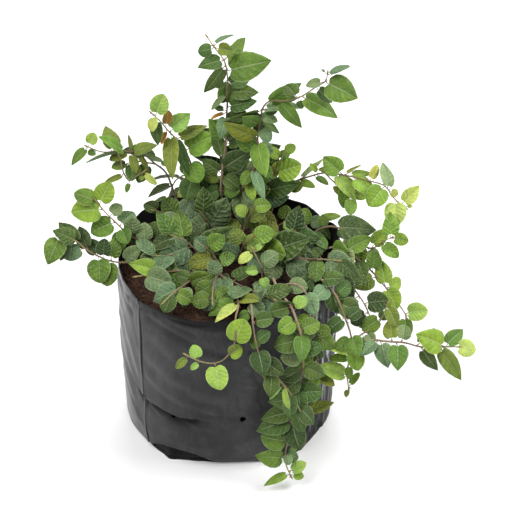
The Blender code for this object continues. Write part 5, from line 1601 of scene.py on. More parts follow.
@dataclass
class Blade:
    """A heart-shaped leaf blade, modelled once: the upper face in six strips, the under in two."""

    rows: tuple
    lobe: float = 0.085
    lobe_reach: float = 0.26
    arch: float = 0.12
    curl: float = 0.07
    sunken: float = 0.05
    longer: float = 1.10
    wider: float = 1.18
    mat_growth: float = 1.15
    off_solid: float = 0.0002
    waves: tuple = (0.02, 0.09)
    wave_turns: tuple = (5, 9)
    twists: tuple = (-0.22, 0.22)
    hooks: tuple = (-0.04, 0.13)
    hook_from: float = 0.55
    swerves: tuple = (-0.05, 0.05)
    model: Model = field(init=False)

    def __post_init__(self) -> None:
        """Models the blade flat: x from -1 to 1 across, y from 0 to 1 along, z the relief's share."""
        upper = self.sheet("leaf face", 6)
        under = self.sheet("leaf back", 2)
        under.data.flip_normals()
        for made, slot in ((upper, 0), (under, 1)):
            for _ in range(2):
                made.data.materials.append(None)
            made.data.polygons.foreach_set("material_index", [slot] * len(made.data.polygons))
        Workshop.select(upper, under)
        bpy.ops.object.join()
        Workshop.pick(upper, "VERT", lambda place: True)
        bpy.ops.mesh.remove_doubles(threshold=0.0001)
        Workshop.close()
        self.model = Model.of(upper)

    def sheet(self, name: str, strips: int) -> Object:
        """One face of the blade, from a grid whose corners are moved to the outline.

        Args:
            name: The sheet's name.
            strips: How many strips lie side by side: more than two for the quilted upper face.

        Returns:
            The sheet.
        """
        made = Workshop.added(bpy.ops.mesh.primitive_grid_add, name, x_subdivisions=strips,
                              y_subdivisions=len(self.rows) - 1, size=2, location=(0, 0, 0))
        places = Workshop.places(made)
        across = places[:, 0]
        out = np.abs(across)
        row = np.rint((places[:, 1] + 1) / 2 * (len(self.rows) - 1)).astype(int)
        along, width = np.array(self.rows)[row].T
        back = self.lobe * out * (1.75 - out) * np.clip(1 - along / self.lobe_reach, 0, 1) ** 1.5
        if strips > 2:
            relief = self.arch * (1 - (2 * out - 1) ** 2) - self.curl * out ** 3
        else:
            relief = np.where(out > 0.5, -self.curl, -self.sunken)
        relief = relief * np.where(width > 0, 1.0, 0.0)
        corners = Workshop.numbers(made.data.loops, "vertex_index")
        flat = np.stack([across * 0.5 + 0.5, along - back], axis=1)[corners]
        made.data.uv_layers.active.uv.foreach_set("vector", flat.ravel())
        Workshop.move(made, np.stack([across * width, along - back, relief], axis=1))
        Workshop.pick(made, "VERT", lambda place: place.y > 0.99)
        bpy.ops.mesh.merge(type="CENTER")
        Workshop.close()
        return made

    def laid(self, leaf: Leaf) -> np.ndarray:
        """The blade's corners on a leaf, folded, drooping, waved and twisted as the leaf is.

        Args:
            leaf: The leaf.

        Returns:
            The corners' places.
        """
        seeded = random.Random(f"{leaf.shoot} {leaf.count} {leaf.length:.5f}")
        x, y, relief = self.model.places.T
        grown = self.mat_growth if leaf.in_mat else 1.0
        u = leaf.stalk + y * leaf.length * self.longer * grown
        v = x * leaf.half_width * self.wider * grown
        wave = seeded.uniform(*self.waves) * leaf.half_width
        turns = seeded.uniform(*self.wave_turns)
        phase = seeded.uniform(0, 6)
        twist = seeded.uniform(*self.twists) * np.clip(y, 0, 1)
        hook = seeded.uniform(*self.hooks)
        out = np.maximum(0.0, u - leaf.stalk)
        rise = leaf.fold * np.abs(v) - leaf.droop * out * out / leaf.length + self.off_solid
        rise += relief * leaf.half_width + wave * np.sin(y * turns + phase + np.sign(x)) * np.abs(x) ** 2
        rise -= hook * leaf.length * np.clip(y - self.hook_from, 0, 1) ** 2
        v, rise = v * np.cos(twist) - rise * np.sin(twist), rise * np.cos(twist) + v * np.sin(twist)
        v = v + seeded.uniform(*self.swerves) * leaf.length * y * y
        root, along, normal = (np.array(w) for w in (leaf.root, leaf.along, leaf.normal))
        across = np.cross(normal, along)
        return root + along * u[:, None] + across * v[:, None] + normal * rise[:, None]


@dataclass
class LeafyShoots:
    """All the stems with their leaves, stalks, buds and rootlets, one piece for each node."""

    growth: Growth
    stem_step: float = 0.0035
    stem_tip: float = 0.00042
    stem_share: float = 0.68
    stem_swell: float = 0.16
    branch_age: float = 0.7
    stalk_radius: float = 0.00038
    bud_length: float = 0.0034
    bud_share: float = 0.17
    slender: float = 0.86
    half_grown: float = 0.013
    sharp: float = 48
    rootlet_length: float = 0.0022
    rootlet_radii: tuple = (0.00022, 0.00006)
    dark_tones: str = "DUEDUMD"
    mid_age: float = 1.35
    bright_age: float = 2.7
    young_from: float = 0.62
    younger: float = 1.7
    small_younger: float = 0.35
    mat_shade: float = 0.82

    def __post_init__(self) -> None:
        """Models the blade, the tubes and the bud that are copied everywhere."""
        self.round_blade = Blade(ROUND_BLADE)
        self.pointed_blade = Blade(POINTED_BLADE)
        self.stem = Tube(7, 44)
        self.stalk = Tube(4, 3)
        self.bud = Tube(5, 3)
        self.rootlet = Tube(3, 1)
        self.leaves = self.growth.everything()
        self.faces = {
            DARK: LeafFace("dark leaf face", relief=0.9, roughness=0.40, vein_share=0.26, shading=0.44,
                           mottle=0.80, pale_rim_and_rim_light_share=0.40, painted_highlight_share=0.50).build(),
            MID: LeafFace("mid leaf face", relief=0.6, roughness=0.42, vein_share=0.28, shading=0.22,
                          mottle=0.60, pale_rim_and_rim_light_share=0.34, painted_highlight_share=0.18).build(),
            BRIGHT: LeafFace("bright leaf face", relief=0.6, roughness=0.42, vein_share=0.30,
                             shading=0.26, mottle=0.50, pale_rim_and_rim_light_share=0.26, painted_highlight_share=0.16).build(),
        }
        self.back = LeafBack("leaf back", relief=0.6, roughness=0.6).build()
        self.bark = Bark().build()
        self.scale = BudScale().build()

    def tone(self, leaf: Leaf, foliage: Foliage) -> tuple[float, float, float, float]:
        """A leaf's colour, by its letter or else by the age of its place on the stem.

        Args:
            leaf: The leaf.
            foliage: The slot of its shoot.

        Returns:
            Red, green and blue, and a number from 0 to 1 that picks the half of the blade with painted shade.
        """
        seeded = random.Random(f"{leaf.shoot} tone {leaf.count} {leaf.reach:.4f}")
        if leaf.tone:
            colour = Tone[leaf.tone].value
        elif foliage is DARK:
            colour = Tone[seeded.choice(self.dark_tones)].value
        else:
            start = self.mid_age if foliage is MID else self.bright_age
            young = max(0.0, (leaf.reach - self.young_from) / (1 - self.young_from))
            age = start + self.younger * young + seeded.gauss(0, 0.5)
            age += self.small_younger if leaf.small else 0.0
            age = min(max(age, 0.0), len(AGES) - 1.001)
            older, newer = AGES[int(age)].value, AGES[int(age) + 1].value
            colour = [a + (b - a) * (age % 1) for a, b in zip(older, newer)]
        light = seeded.uniform(0.88, 1.14) * (self.mat_shade if leaf.in_mat else 1.0)
        warm = seeded.uniform(0.90, 1.14)
        return colour[0] * light * warm, colour[1] * light, colour[2] * light / warm, seeded.random()

    def add_leaf(self, batch: Batch, leaf: Leaf, near: Vector, foliage: Foliage) -> None:
        """Adds a leaf's blade and its stalk, which starts in the stem.

        Args:
            batch: The piece that is being gathered.
            leaf: The leaf.
            near: The point of the stem's middle line that the stalk grows from.
            foliage: The slot of its shoot.
        """
        slender = 2 * leaf.half_width < self.slender * leaf.length
        blade = self.pointed_blade if slender and leaf.length > self.half_grown else self.round_blade
        batch.add(blade.model, blade.laid(leaf), tone=self.tone(leaf, foliage))
        end = leaf.point(leaf.stalk + 0.03 * leaf.length, 0, -0.0001)
        bend = near.lerp(end, 0.5) + (leaf.root - near.lerp(end, 0.5)) * 0.4
        path = [near, near.lerp(bend, 0.6), bend.lerp(end, 0.5), end]
        thick = self.stalk_radius * (0.6 + 0.4 * min(1.0, leaf.length / 0.02))
        places, share = self.stalk.led(path, [thick * 1.3, thick, thick, thick * 0.8])
        batch.add(self.stalk.model, places, slot=2, age=0.10 + 0.25 * (1 - share))

    def add_bud(self, batch: Batch, foot: Vector, ahead: Vector, length: float) -> None:
        """Adds a pointed bud that stands on a point."""
        path = [foot, foot + ahead * length * 0.3, foot + ahead * length * 0.65, foot + ahead * length]
        thick = length * self.bud_share
        places, _ = self.bud.led(path, [thick * 0.7, thick, thick * 0.7, thick * 0.06])
        batch.add(self.bud.model, places, slot=3)

    def add_stem(self, batch: Batch, shoot: Shoot) -> list[Vector]:
        """Adds a stem that swells a little at each leaf, with rootlets on its old part.

        Args:
            batch: The piece that is being gathered.
            shoot: The shoot.

        Returns:
            The points of the stem's middle line.
        """
        path = Stems.path(shoot.route, self.stem_step)
        radii = Stems.radii(shoot.radius * MM * self.stem_share, self.stem_tip, len(path), 0.9)
        seeded = random.Random(f"{shoot.name} stem")
        swell = shoot.habit.gap * MM / self.stem_step
        radii = [r * (1 + self.stem_swell * math.cos(i / swell * math.tau) ** 8 + seeded.uniform(-0.04, 0.04))
                 for i, r in enumerate(radii)]
        places, share = self.stem.led(path, radii)
        oldest = 1.0 if shoot.name == shoot.node else self.branch_age
        batch.add(self.stem.model, places, slot=2, age=oldest * (1 - share) ** 1.2)
        face = Vector(shoot.habit.face).normalized()
        for i in range(4, int(len(path) * 0.6), 3):
            ahead = (path[i + 1] - path[i]).normalized()
            for _ in range(2):
                away = -face + Vector([seeded.uniform(-0.9, 0.9) for _ in range(3)])
                away = (away - ahead * away.dot(ahead)).normalized()
                foot = path[i] + away * radii[i] * 0.6
                away += ahead * seeded.uniform(-0.4, 0.4)
                tip = foot + away * self.rootlet_length * seeded.uniform(0.5, 1)
                ends, _ = self.rootlet.led([foot, tip], self.rootlet_radii)
                batch.add(self.rootlet.model, ends, slot=2, age=0.5)
        return path

    def build(self, node: str) -> Object:
        """The fine piece of one node."""
        batch = Batch()
        shoots = [shoot for shoot in SHOOTS + TWIGS if shoot.node == node]
        paths = {}
        for shoot in shoots:
            paths[shoot.name] = self.add_stem(batch, shoot)
            path = paths[shoot.name]
            self.add_bud(batch, path[-1], (path[-1] - path[-2]).normalized(), self.bud_length * 1.3)
        foliage = {shoot.name: shoot.foliage for shoot in shoots}
        for leaf in self.leaves[node]:
            path = paths[leaf.shoot]
            index = min(range(len(path)), key=lambda i: (path[i] - leaf.root).length_squared)
            self.add_leaf(batch, leaf, path[index], foliage[leaf.shoot])
            ahead = (path[min(index + 1, len(path) - 1)] - path[max(index - 1, 0)]).normalized()
            if not leaf.small:
                away = (ahead + leaf.along * 0.7 + leaf.normal * 0.3).normalized()
                self.add_bud(batch, path[index] + away * 0.0006, away, self.bud_length * 0.62)
        kind = shoots[0].foliage
        materials = [self.faces[kind], self.back, self.bark, self.scale]
        piece = batch.build(f"{node}.leaves", materials, self.sharp)
        Workshop.settle(piece, kind.value, node)
        return piece


class Side(Enum):
    """How a crease lifts the film: a thin ridge, a thin valley, or a shelf that drops below it."""

    RIDGE = 1
    VALLEY = -1
    SHELF = 0


@dataclass(frozen=True)
class Crease:
    """A crease in the film, by rows of an angle in degrees and a height in millimetres."""

    points: str
    width: float
    depth: float
    side: Side = Side.RIDGE
    reach: float = 12.0

    def lift(self, height: np.ndarray, angle: np.ndarray, radius: float) -> np.ndarray:
        """How far the crease moves each point of the film outwards.

        Args:
            height: The points' heights in millimetres.
            angle: The points' angles in degrees.
            radius: The bag's radius in millimetres.

        Returns:
            The lift of each point, in millimetres.
        """
        points = rows(self.points)
        centre = points[len(points) // 2][0]
        x = ((angle - centre + 180) % 360 - 180) * math.pi / 180 * radius
        best = np.full(len(x), 1e9)
        signed = np.zeros(len(x))
        for (a0, z0), (a1, z1) in zip(points, points[1:]):
            x0, x1 = ((a - centre) * math.pi / 180 * radius for a in (a0, a1))
            dx, dz = x1 - x0, z1 - z0
            size = dx * dx + dz * dz
            t = np.clip(((x - x0) * dx + (height - z0) * dz) / size, 0, 1)
            px, pz = x - (x0 + t * dx), height - (z0 + t * dz)
            away = np.hypot(px, pz)
            nearer = away < best
            best = np.where(nearer, away, best)
            above = (px * -dz + pz * dx) / math.sqrt(size)
            signed = np.where(nearer, np.where(above >= 0, away, -away), signed)
        if self.side is Side.SHELF:
            below = np.clip(-signed, 0, None)
            ends = np.exp(-(np.clip(best - np.abs(below), 0, None) / 6) ** 2)
            drop = 1 - np.exp(-(below / self.width) ** 2)
            return -self.depth * drop * np.exp(-below / self.reach) * ends
        return self.side.value * self.depth * np.exp(-(best / self.width) ** 2)


@dataclass
class GrowBag:
    """The bag: a thin shell of crinkled film with a cut rim and punched drain holes."""

    pot: PotForm
    columns: int = 320
    levels: int = 100
    drains: tuple = ((-165, 47, 2.0), (-120.2, 46.7, 1.5), (-81.6, 54.8, 2.1), (-38, 50, 1.8), (8, 51, 1.8),
                     (52, 50, 1.8), (97, 51, 1.8), (142, 50, 1.8))
    drain_sides: int = 9
    foot_outline: tuple = ((-180, 0), (-162, 0), (-155, -1.0), (-149, -2.1), (-143, -2.8), (-137, -2.5),
                           (-130, -1.0), (-126.5, 0.6), (-124.5, 1.2), (-122.5, 0.2), (-120, -1.5),
                           (-115, -3.2), (-105, -3.4), (-95, -1.0), (-86, 0), (-70, -0.8), (-58, -1.5),
                           (-48, -0.2), (-43.4, 0.9), (-39, -0.4), (-30, -0.8), (-20, 0), (180, 0))
    foot_fold: float = 22
    foot_edge: float = 0.0016
    foot_round: float = 0.006
    lifts: tuple = (-6.0, 2.6)
    # The film's painted light and shade: a plain level, lighter on ridges and darker in folds, under fold
    # wedges, under the rim at the front left and in bands round the bag.
    plain_grey: float = 0.302
    ridge_painted_light: float = 0.055
    fold_painted_shade: tuple = (0.16, 0.9, 2.2)
    # Painted shade on a band under the rim at the front left: angle, width, depth under the rim and edge.
    rim_band_painted_shade: tuple = (-112, 28, 5.5, 1.5)
    sharp: float = 42
    rim_rise: tuple = (0.0045, 38, 16)
    # Painted reflections and shade in bands round the bag: angle, width and how much lighter.
    painted_light_greys: tuple = ((-162, 20, 0.20), (-128, 14, 0.06), (-80, 30, 0.02), (-28, 22, -0.30),
                    (150, 40, 0.15), (60, 30, 0.08))
    # Painted shade under folds: angle, width, height, spread and how much darker.
    painted_fold_shadows: tuple = ((-36, 15, 13, 15, 0.40), (-121, 11, 6, 7, 0.25), (-152, 8, 30, 9, 0.08))
    creases: tuple = (
        Crease("-138.4 146, -139.2 124, -139.4 100, -138.9 60, -138.5 50, -139.5 3", 0.9, 0.75),
        Crease("-137.4 146, -138.2 124, -138.4 100, -137.9 60, -137.5 50, -138.5 3", 0.8, 0.45,
               Side.VALLEY),
        Crease("41.5 146, 42.4 100, 41.8 50, 42.6 3", 0.9, 0.8),
        Crease("-150.5 63, -144 58, -138.2 54, -127.8 52, -118 49.5, -109 51", 1.4, 3.3,
               Side.SHELF, 7),
        Crease("-138.2 54, -132.5 48, -126.5 44", 1.0, 1.1),
        Crease("-137.5 7, -130 13, -124 15.4, -114 14.8, -108 12.5, -100 5", 1.5, 4.2,
               Side.SHELF, 30),
        Crease("-52 5, -49 24, -41 27, -30 20, -24 5", 1.8, 2.4, Side.SHELF, 30),
        Crease("-170 134, -150 136, -130 138.5, -105 139.5, -80 139", 2.2, 1.0, Side.VALLEY),
        Crease("-132 132, -118 127, -100 118, -88 114", 3.5, 0.8, Side.VALLEY),
        Crease("-128 137, -116 134, -106 131", 2.0, 0.7, Side.VALLEY),
        Crease("-172 128, -160 112, -149 90, -143 76", 4.4, 0.9),
        Crease("-171 100, -160 84, -149 62, -144 50", 4.4, 1.0),
        Crease("-175 76, -163 60, -152 44", 4.0, 0.8),
        Crease("-166 52, -156 38, -146 24", 4.0, 0.7),
        Crease("-150 134, -146 118, -142 100", 2.4, 0.4, Side.VALLEY),
        Crease("-132 96, -118 84, -104 77, -92 74", 5.0, 0.8),
        Crease("-134 78, -122 68, -108 63, -98 62", 3.4, 0.7),
        Crease("-130 118, -118 106, -104 98", 4.5, 0.6),
        Crease("-166 136, -156 130, -146 124", 2.4, 0.7, Side.VALLEY),
        Crease("-104 63, -96 60.5, -86 60", 1.8, 0.8, Side.SHELF, 6),
        Crease("-112 46, -104 43, -97 43", 1.6, 0.5),
        Crease("-77 118, -75 104, -77 95, -72.5 84, -73.5 70, -71 62", 1.3, 0.9, Side.VALLEY),
        Crease("-80 103, -76.5 99, -73 98", 1.2, 0.7),
        Crease("-79 86, -75 82, -71 84", 1.2, 0.7),
        Crease("-58 140, -55 118, -57 96, -53 70", 2.2, 1.0),
        Crease("-46 146, -40 120, -36 96, -30 70", 2.4, 1.8),
        Crease("-41 146, -35 118, -33 90", 2.2, 1.6, Side.VALLEY),
        Crease("-32 148, -27 124, -24 100, -20 78", 2.0, 1.7),
        Crease("-25 148, -21 120, -19 84", 2.0, 1.5, Side.VALLEY),
        Crease("-16 150, -14 126, -17 100, -13 74", 1.9, 1.6),
        Crease("-8 152, -7 120, -9 88, -6 60", 2.0, 1.5, Side.VALLEY),
        Crease("0 154, 2 128, 0 96, 3 60", 2.2, 1.6),
        Crease("12 154, 15 120, 12 84", 2.4, 1.4, Side.VALLEY),
        Crease("24 148, 22 118, 26 90, 24 60", 2.4, 1.4),
        Crease("-36 96, -24 70, -10 52", 2.2, 1.2),
        Crease("66 140, 78 118, 92 100, 104 92", 3.2, 1.2),
        Crease("120 120, 132 96, 150 84", 3.4, 1.2),
        Crease("80 70, 98 58, 118 60", 2.6, 1.5, Side.SHELF, 10),
    )

    def crinkles(self, angle: np.ndarray, height: np.ndarray) -> np.ndarray:
        """Soft wrinkles all over the film, stronger and upright at the right.

        Args:
            angle: The points' angles in degrees.
            height: Their heights in millimetres.

        Returns:
            How far each point is lifted, in millimetres.
        """
        found = []
        for a, z in zip(np.radians(angle), height):
            x, y = math.cos(a) * 2.2, math.sin(a) * 2.2
            slanted = noise.noise((x * 1.5, y * 1.5, z * 0.022 + a * 0.55))
            fine = noise.noise((x * 6, y * 6, z * 0.085))
            upright = 1 - abs(noise.noise((x * 4.4, y * 4.4, z * 0.012 + 7))) * 2.6
            right = math.exp(-((math.degrees(a) - 2) / 46) ** 2)
            found.append(slanted * 0.75 + fine * 0.28 + right * upright * 0.75)
        return np.array(found)

    def shell(self) -> Object:
        """The film's outer face, from a cylinder with its side cut into many levels."""
        made = Workshop.added(bpy.ops.mesh.primitive_cylinder_add, "bag.film", vertices=self.columns,
                              radius=1, depth=1, location=(0, 0, 0), end_fill_type="NGON")
        Workshop.pick(made, "EDGE", lambda a, b: abs(a.z - b.z) > 0.5)
        bpy.ops.mesh.subdivide(number_cuts=self.levels - 1)
        Workshop.close()
        Workshop.pick(made, "FACE", lambda middle, normal: middle.z > 0.49 and normal.z > 0.9)
        bpy.ops.mesh.delete(type="FACE")
        Workshop.close()
        Workshop.pick(made, "FACE", lambda middle, normal: middle.z < -0.49 and normal.z < -0.9)
        for width in (0.25, 0.30, 0.25):
            bpy.ops.mesh.inset(thickness=width)
        bpy.ops.mesh.poke()
        Workshop.close()
        return made

    def shape(self, made: Object) -> None:
        """Moves the shell's corners to the form of the wall, with its creases and crinkles."""
        places = Workshop.places(made)
        angle = np.degrees(np.arctan2(places[:, 1], places[:, 0]))
        out = np.hypot(places[:, 0], places[:, 1])
        side = out > 0.99
        more, centre, width = self.rim_rise
        rims = np.array([self.pot.rim_height(a) for a in angle]) + more * bumps(angle, centre, width)
        share = places[:, 2] + 0.5
        height = np.where(share > 0, self.foot_edge + (rims - self.foot_edge) * share, 0.0)
        rounding = self.pot.foot_rounding
        radius = np.array([self.pot.wall_radius(a, max(z, rounding)) for a, z in zip(angle, height)])
        radius = np.where(share <= 0, radius - rounding, radius)
        low = side & (share > 0) & (height < self.foot_round)
        radius = np.where(low, radius - rounding * np.clip(1 - height / self.foot_round, 0, 1) ** 2, radius)
        foot = np.interp(angle, *zip(*self.foot_outline))
        radius += foot * MM * np.clip(1 - height * 1000 / self.foot_fold, 0, 1)
        z = height * 1000
        lift = self.crinkles(angle, z)
        for crease in self.creases:
            lift = lift + crease.lift(z, angle, self.pot.radius * 1000)
        calm = np.clip(z / 14, 0, 1) ** 0.7
        lift = lift * np.where(lift > 0, calm, np.clip(z / 3, 0, 1))
        lift = np.clip(lift, *self.lifts)
        radius = radius + lift * MM * side
        flat = np.where(side, radius, out * radius)
        rad = np.radians(angle)
        Workshop.move(made, np.stack([flat * np.cos(rad), flat * np.sin(rad), height], axis=1))
        # The painted light and shade, kept for the film's colour.
        painted_light_greys = made.data.attributes.new(FILM_PAINTED_LIGHT, "FLOAT", "POINT")
        painted_light_greys.data.foreach_set("value", self.painted_light_and_shade(angle, z, rims * 1000, lift))

    def painted_light_and_shade(self, angle: np.ndarray, height: np.ndarray, rim: np.ndarray,
              lift: np.ndarray) -> np.ndarray:
        """How much painted light the film has at each point: 0 for painted shade deep in a fold, 1 for a
        painted highlight on a ridge.

        Args:
            angle: The points' angles in degrees.
            height: Their heights in millimetres.
            rim: The rim's height over each of them, in millimetres.
            lift: How far the creases move them outwards, in millimetres.

        Returns:
            The painted light and shade of each point, from 0 to 1.
        """
        found = np.full(len(angle), self.plain_grey)
        # Painted reflections and shade in bands round the bag.
        for centre, width, more in self.painted_light_greys:
            found += more * bumps(angle, centre, width)
        # Painted shade in the wedges under folds.
        for centre, width, level, spread, less in self.painted_fold_shadows:
            upright = np.exp(-((height - level) / spread) ** 2)
            found -= less * upright * bumps(angle, centre, width)
        # Painted light on ridges that stand out and painted shade in folds that sink in.
        share, start, most = self.fold_painted_shade
        found += self.ridge_painted_light * lift - share * np.clip(-lift - start, 0, most)
        # Painted shade darkens a band just under the rim at the front left.
        centre, width, depth, edge = self.rim_band_painted_shade
        rim_band_shading = bumps(angle, centre, width) * np.clip((height - rim + depth) / edge, 0, 1)
        return np.clip(found * (1 - 0.9 * rim_band_shading), 0, 1)

    def punch(self, made: Object) -> None:
        """Punches the drain holes, each with a slightly torn outline."""
        seeded = random.Random("drain holes")
        punches = []
        for angle, height, size in self.drains:
            rad = math.radians(angle)
            radius = self.pot.wall_radius(angle, height * MM)
            tool = Workshop.added(
                bpy.ops.mesh.primitive_cylinder_add, "drain punch", vertices=self.drain_sides,
                radius=size * MM, depth=0.016,
                location=(radius * math.cos(rad), radius * math.sin(rad), height * MM),
                rotation=(0, math.pi / 2, rad))
            places = Workshop.places(tool)
            Workshop.move(tool, places * [[1 + seeded.uniform(-0.25, 0.25), 1, 1] for _ in places])
            punches.append(tool)
        Workshop.select(*punches)
        bpy.ops.object.transform_apply(location=True, rotation=True, scale=True)
        bpy.ops.object.join()
        cutter = bpy.context.view_layer.objects.active
        Workshop.modify(made, "BOOLEAN", operation="DIFFERENCE", solver="EXACT", object=cutter)
        bpy.data.objects.remove(cutter)

    def build(self) -> Object:
        """The finished bag."""
        made = self.shell()
        self.shape(made)
        Workshop.modify(made, "SOLIDIFY", thickness=self.pot.film, offset=-1, use_even_offset=True)
        self.punch(made)
        Workshop.dress(made, BlackFilm().build())
        Workshop.smooth(made, self.sharp)
        Workshop.settle(made, "black_film", "bag")
        return made


@dataclass
class CoirSoil:
    """The soil: a crumbly top inside the bag, with loose crumbs and fibres of coir on it."""

    pot: PotForm
    cells: int = 128
    inset: float = 0.0015
    grains: tuple = ((330, 0.0009), (900, 0.0006))
    clods: tuple = (95, 0.0022)
    settled: float = 0.0004
    rings: tuple = ((0.110, 0.0032), (0.070, 0.0050), (0.030, 0.0085), (0.0045, 0.0085))
    crumb_count: int = 900
    crumb_sizes: tuple = (0.0005, 0.0011)
    large_crumbs: float = 0.10
    fibre_count: int = 520
    fibre_lengths: tuple = (0.005, 0.017)
    fibre_radii: tuple = (0.00012, 0.00024)
    fibre_steps: int = 5
    spread: float = 0.0765
    fibre_spread: float = 0.0755

    def height(self, x: float, y: float) -> float:
        """Height of the soil's top with its crumbs.

        Args:
            x: The point's x, in metres.
            y: Its y.

        Returns:
            The height in metres.
        """
        place = Vector((x, y, 0.0))
        crumb = sum(noise.noise(place * fineness) * rise for fineness, rise in self.grains)
        fineness, rise = self.clods
        clod = max(0.0, noise.noise(place * fineness)) * rise
        return self.pot.soil_height(x, y) + crumb + clod - self.settled

    def build_top(self) -> Object:
        """The plug of soil: a fine grid drawn out to a disc, with its edge led down to the foot."""
        made = Workshop.added(bpy.ops.mesh.primitive_grid_add, "soil.coir", x_subdivisions=self.cells,
                              y_subdivisions=self.cells, size=2, location=(0, 0, 0))
        places = Workshop.places(made)
        s, t = places[:, 0], places[:, 1]
        disc_x, disc_y = s * np.sqrt(1 - t * t / 2), t * np.sqrt(1 - s * s / 2)
        angle = np.degrees(np.arctan2(disc_y, disc_x))
        level = self.pot.wave_start
        reach = np.array([self.pot.wall_radius(a, level) for a in angle]) - self.pot.film - self.inset
        x, y = disc_x * reach, disc_y * reach
        z = np.array([self.height(a, b) for a, b in zip(x, y)])
        Workshop.move(made, np.stack([x, y, z], axis=1))
        bpy.context.view_layer.objects.active = made
        bpy.ops.object.mode_set(mode="EDIT")
        bpy.ops.mesh.select_all(action="SELECT")
        bpy.ops.mesh.region_to_loop()
        for level, inset in self.rings:
            bpy.ops.mesh.extrude_edges_move()
            Workshop.close()
            mesh = made.data
            for vert in mesh.vertices:
                if vert.select:
                    turn = math.degrees(math.atan2(vert.co.y, vert.co.x))
                    far = self.pot.wall_radius(turn, level) - self.pot.film - inset
                    vert.co = (far * math.cos(math.radians(turn)), far * math.sin(math.radians(turn)), level)
            bpy.ops.object.mode_set(mode="EDIT")
        bpy.ops.mesh.edge_face_add()
        bpy.ops.mesh.select_all(action="SELECT")
        bpy.ops.mesh.normals_make_consistent(inside=False)
        Workshop.close()
        Workshop.dress(made, Coir("coir soil", light=0.04, grain=700).build())
        Workshop.smooth(made, 60)
        Workshop.settle(made, "coir_soil", "soil")
        return made

    def spots(self, seeded: random.Random, count: int) -> list[tuple[float, float]]:
        """Places spread over the soil.

        Args:
            seeded: The source of chance.
            count: How many are wanted.

        Returns:
            The x and y of each, in metres.
        """
        found = []
        while len(found) < count:
            x, y = seeded.uniform(-0.077, 0.077), seeded.uniform(-0.077, 0.077)
            if math.hypot(x, y) < self.spread:
                found.append((x, y))
        return found

    def build_crumbs(self) -> Object:
        """Loose crumbs, each a dented lump of few faces."""
        made = Workshop.added(bpy.ops.mesh.primitive_ico_sphere_add, "crumb", subdivisions=2, radius=1,
                              location=(0, 0, 0))
        places = Workshop.places(made)
        dents = np.array([1 + 0.35 * noise.noise(Vector(p) * 1.7) for p in places])
        Workshop.move(made, places * dents[:, None])
        model = Model.of(made)
        seeded = random.Random("crumbs")
        batch = Batch()
        for x, y in self.spots(seeded, self.crumb_count):
            size = seeded.uniform(*self.crumb_sizes) * (2 if seeded.random() < self.large_crumbs else 1)
            turn = np.array([[seeded.gauss(0, 1) for _ in range(3)] for _ in range(3)])
            spin, _ = np.linalg.qr(turn)
            flat = np.array((1.0, seeded.uniform(0.6, 1), seeded.uniform(0.4, 0.8)))
            foot = np.array((x, y, self.height(x, y) + size * 0.25))
            batch.add(model, (model.places * flat * size) @ spin.T + foot)
        piece = batch.build("soil.crumbs", [Coir("coir crumbs", light=0.0, grain=1500).build()], 60)
        Workshop.settle(piece, "coir_soil")
        return piece

    def build_fibres(self) -> Object:
        """Loose fibres of coir, thin bent tubes that lie on the soil."""
        tube = Tube(3, self.fibre_steps)
        seeded = random.Random("fibres")
        batch = Batch()
        for x, y in self.spots(seeded, self.fibre_count):
            turn = seeded.gauss(-0.6, 0.9)
            length = seeded.uniform(*self.fibre_lengths)
            bend = seeded.uniform(-0.9, 0.9)
            path = []
            for _ in range(self.fibre_steps + 1):
                path.append(Vector((x, y, 0)))
                x += math.cos(turn) * length / self.fibre_steps
                y += math.sin(turn) * length / self.fibre_steps
                turn += bend / self.fibre_steps
            if any(math.hypot(p.x, p.y) > self.fibre_spread for p in path):
                continue
            tilt = seeded.uniform(0.0, 0.0028)
            for i, point in enumerate(path):
                point.z = self.height(point.x, point.y) + 0.0004 + tilt * i / self.fibre_steps
            thick = seeded.uniform(*self.fibre_radii)
            places, _ = tube.led(path, [thick * 0.6, thick, thick, thick, thick * 0.8, thick * 0.4])
            batch.add(tube.model, places)
        piece = batch.build("soil.fibres", [Coir("coir fibres", light=0.20, grain=1200).build()], 80)
        Workshop.settle(piece, "coir_soil")
        return piece

    def build(self) -> None:
        """The soil's three pieces."""
        self.build_top()
        self.build_crumbs()
        self.build_fibres()


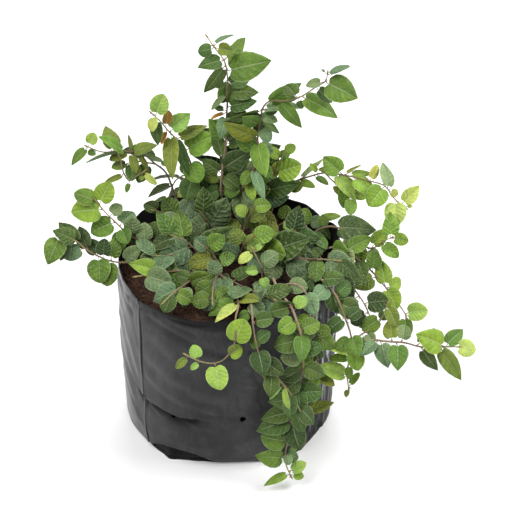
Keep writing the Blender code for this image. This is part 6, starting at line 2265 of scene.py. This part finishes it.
@dataclass
class Studio:
    """The pale floor, the soft lights and the camera."""

    target: tuple = (0.021, 0.0, 0.142)
    elevation: float = 37.0
    distance: float = 1.2
    lens: float = 116.6
    lit: tuple = (0, 0, 0.1)
    lamps: tuple = (("lamp above left", (-0.9, -0.7, 1.7), 1.4, 36),
                    ("lamp above right", (1.2, -0.1, 1.2), 1.1, 28),
                    ("lamp behind", (0.1, 1.2, 1.4), 1.0, 14))
    air: float = 0.20

    def build_floor(self) -> None:
        """A wide pale sheet under the bag."""
        floor = Workshop.added(bpy.ops.mesh.primitive_plane_add, "studio.floor", size=8,
                               location=(0, 0, 0))
        floor.data.materials.append(StudioWhite().build())

    def build_lamp(self, name: str, place: tuple, size: float, power: float) -> None:
        """A soft lamp that shines on the plant.

        Args:
            name: The lamp's name.
            place: Where it hangs.
            size: Its width.
            power: Its power in watts.
        """
        light = bpy.data.lights.new(name, "AREA")
        light.shape = "DISK"
        light.size = size
        light.energy = power
        lamp = bpy.data.objects.new(name, light)
        lamp.location = place
        aim = Vector(self.lit) - Vector(place)
        lamp.rotation_euler = aim.to_track_quat("-Z", "Y").to_euler()
        bpy.context.scene.collection.objects.link(lamp)

    def build(self) -> None:
        """The whole studio."""
        scene = bpy.context.scene
        self.build_floor()
        for lamp in self.lamps:
            self.build_lamp(*lamp)
        world = bpy.data.worlds.new("studio air")
        scene.world = world
        world.use_nodes = True
        sky = world.node_tree.nodes["Background"]
        sky.inputs["Color"].default_value = (1, 1, 1, 1)
        sky.inputs["Strength"].default_value = self.air
        scene.view_settings.view_transform = "Standard"
        camera = bpy.data.objects.new("photo camera", bpy.data.cameras.new("photo camera"))
        camera.data.lens = self.lens
        camera.data.sensor_width = 36
        rise = math.radians(self.elevation)
        back = Vector((0, -math.cos(rise), math.sin(rise)))
        camera.location = Vector(self.target) + back * self.distance
        camera.rotation_euler = (-back).to_track_quat("-Z", "Y").to_euler()
        scene.collection.objects.link(camera)
        scene.camera = camera


def main() -> None:
    """Builds every piece in order."""
    logging.basicConfig(level=logging.INFO, format="%(message)s")
    Workshop.deselect()
    pot = PotForm()
    GrowBag(pot).build()
    CoirSoil(pot).build()
    shoots = LeafyShoots(Growth(pot))
    for node in shoots.leaves:
        shoots.build(node)
    LOG.info("leaves: %d", sum(len(leaves) for leaves in shoots.leaves.values()))
    Studio().build()


if __name__ == "__main__":
    main()
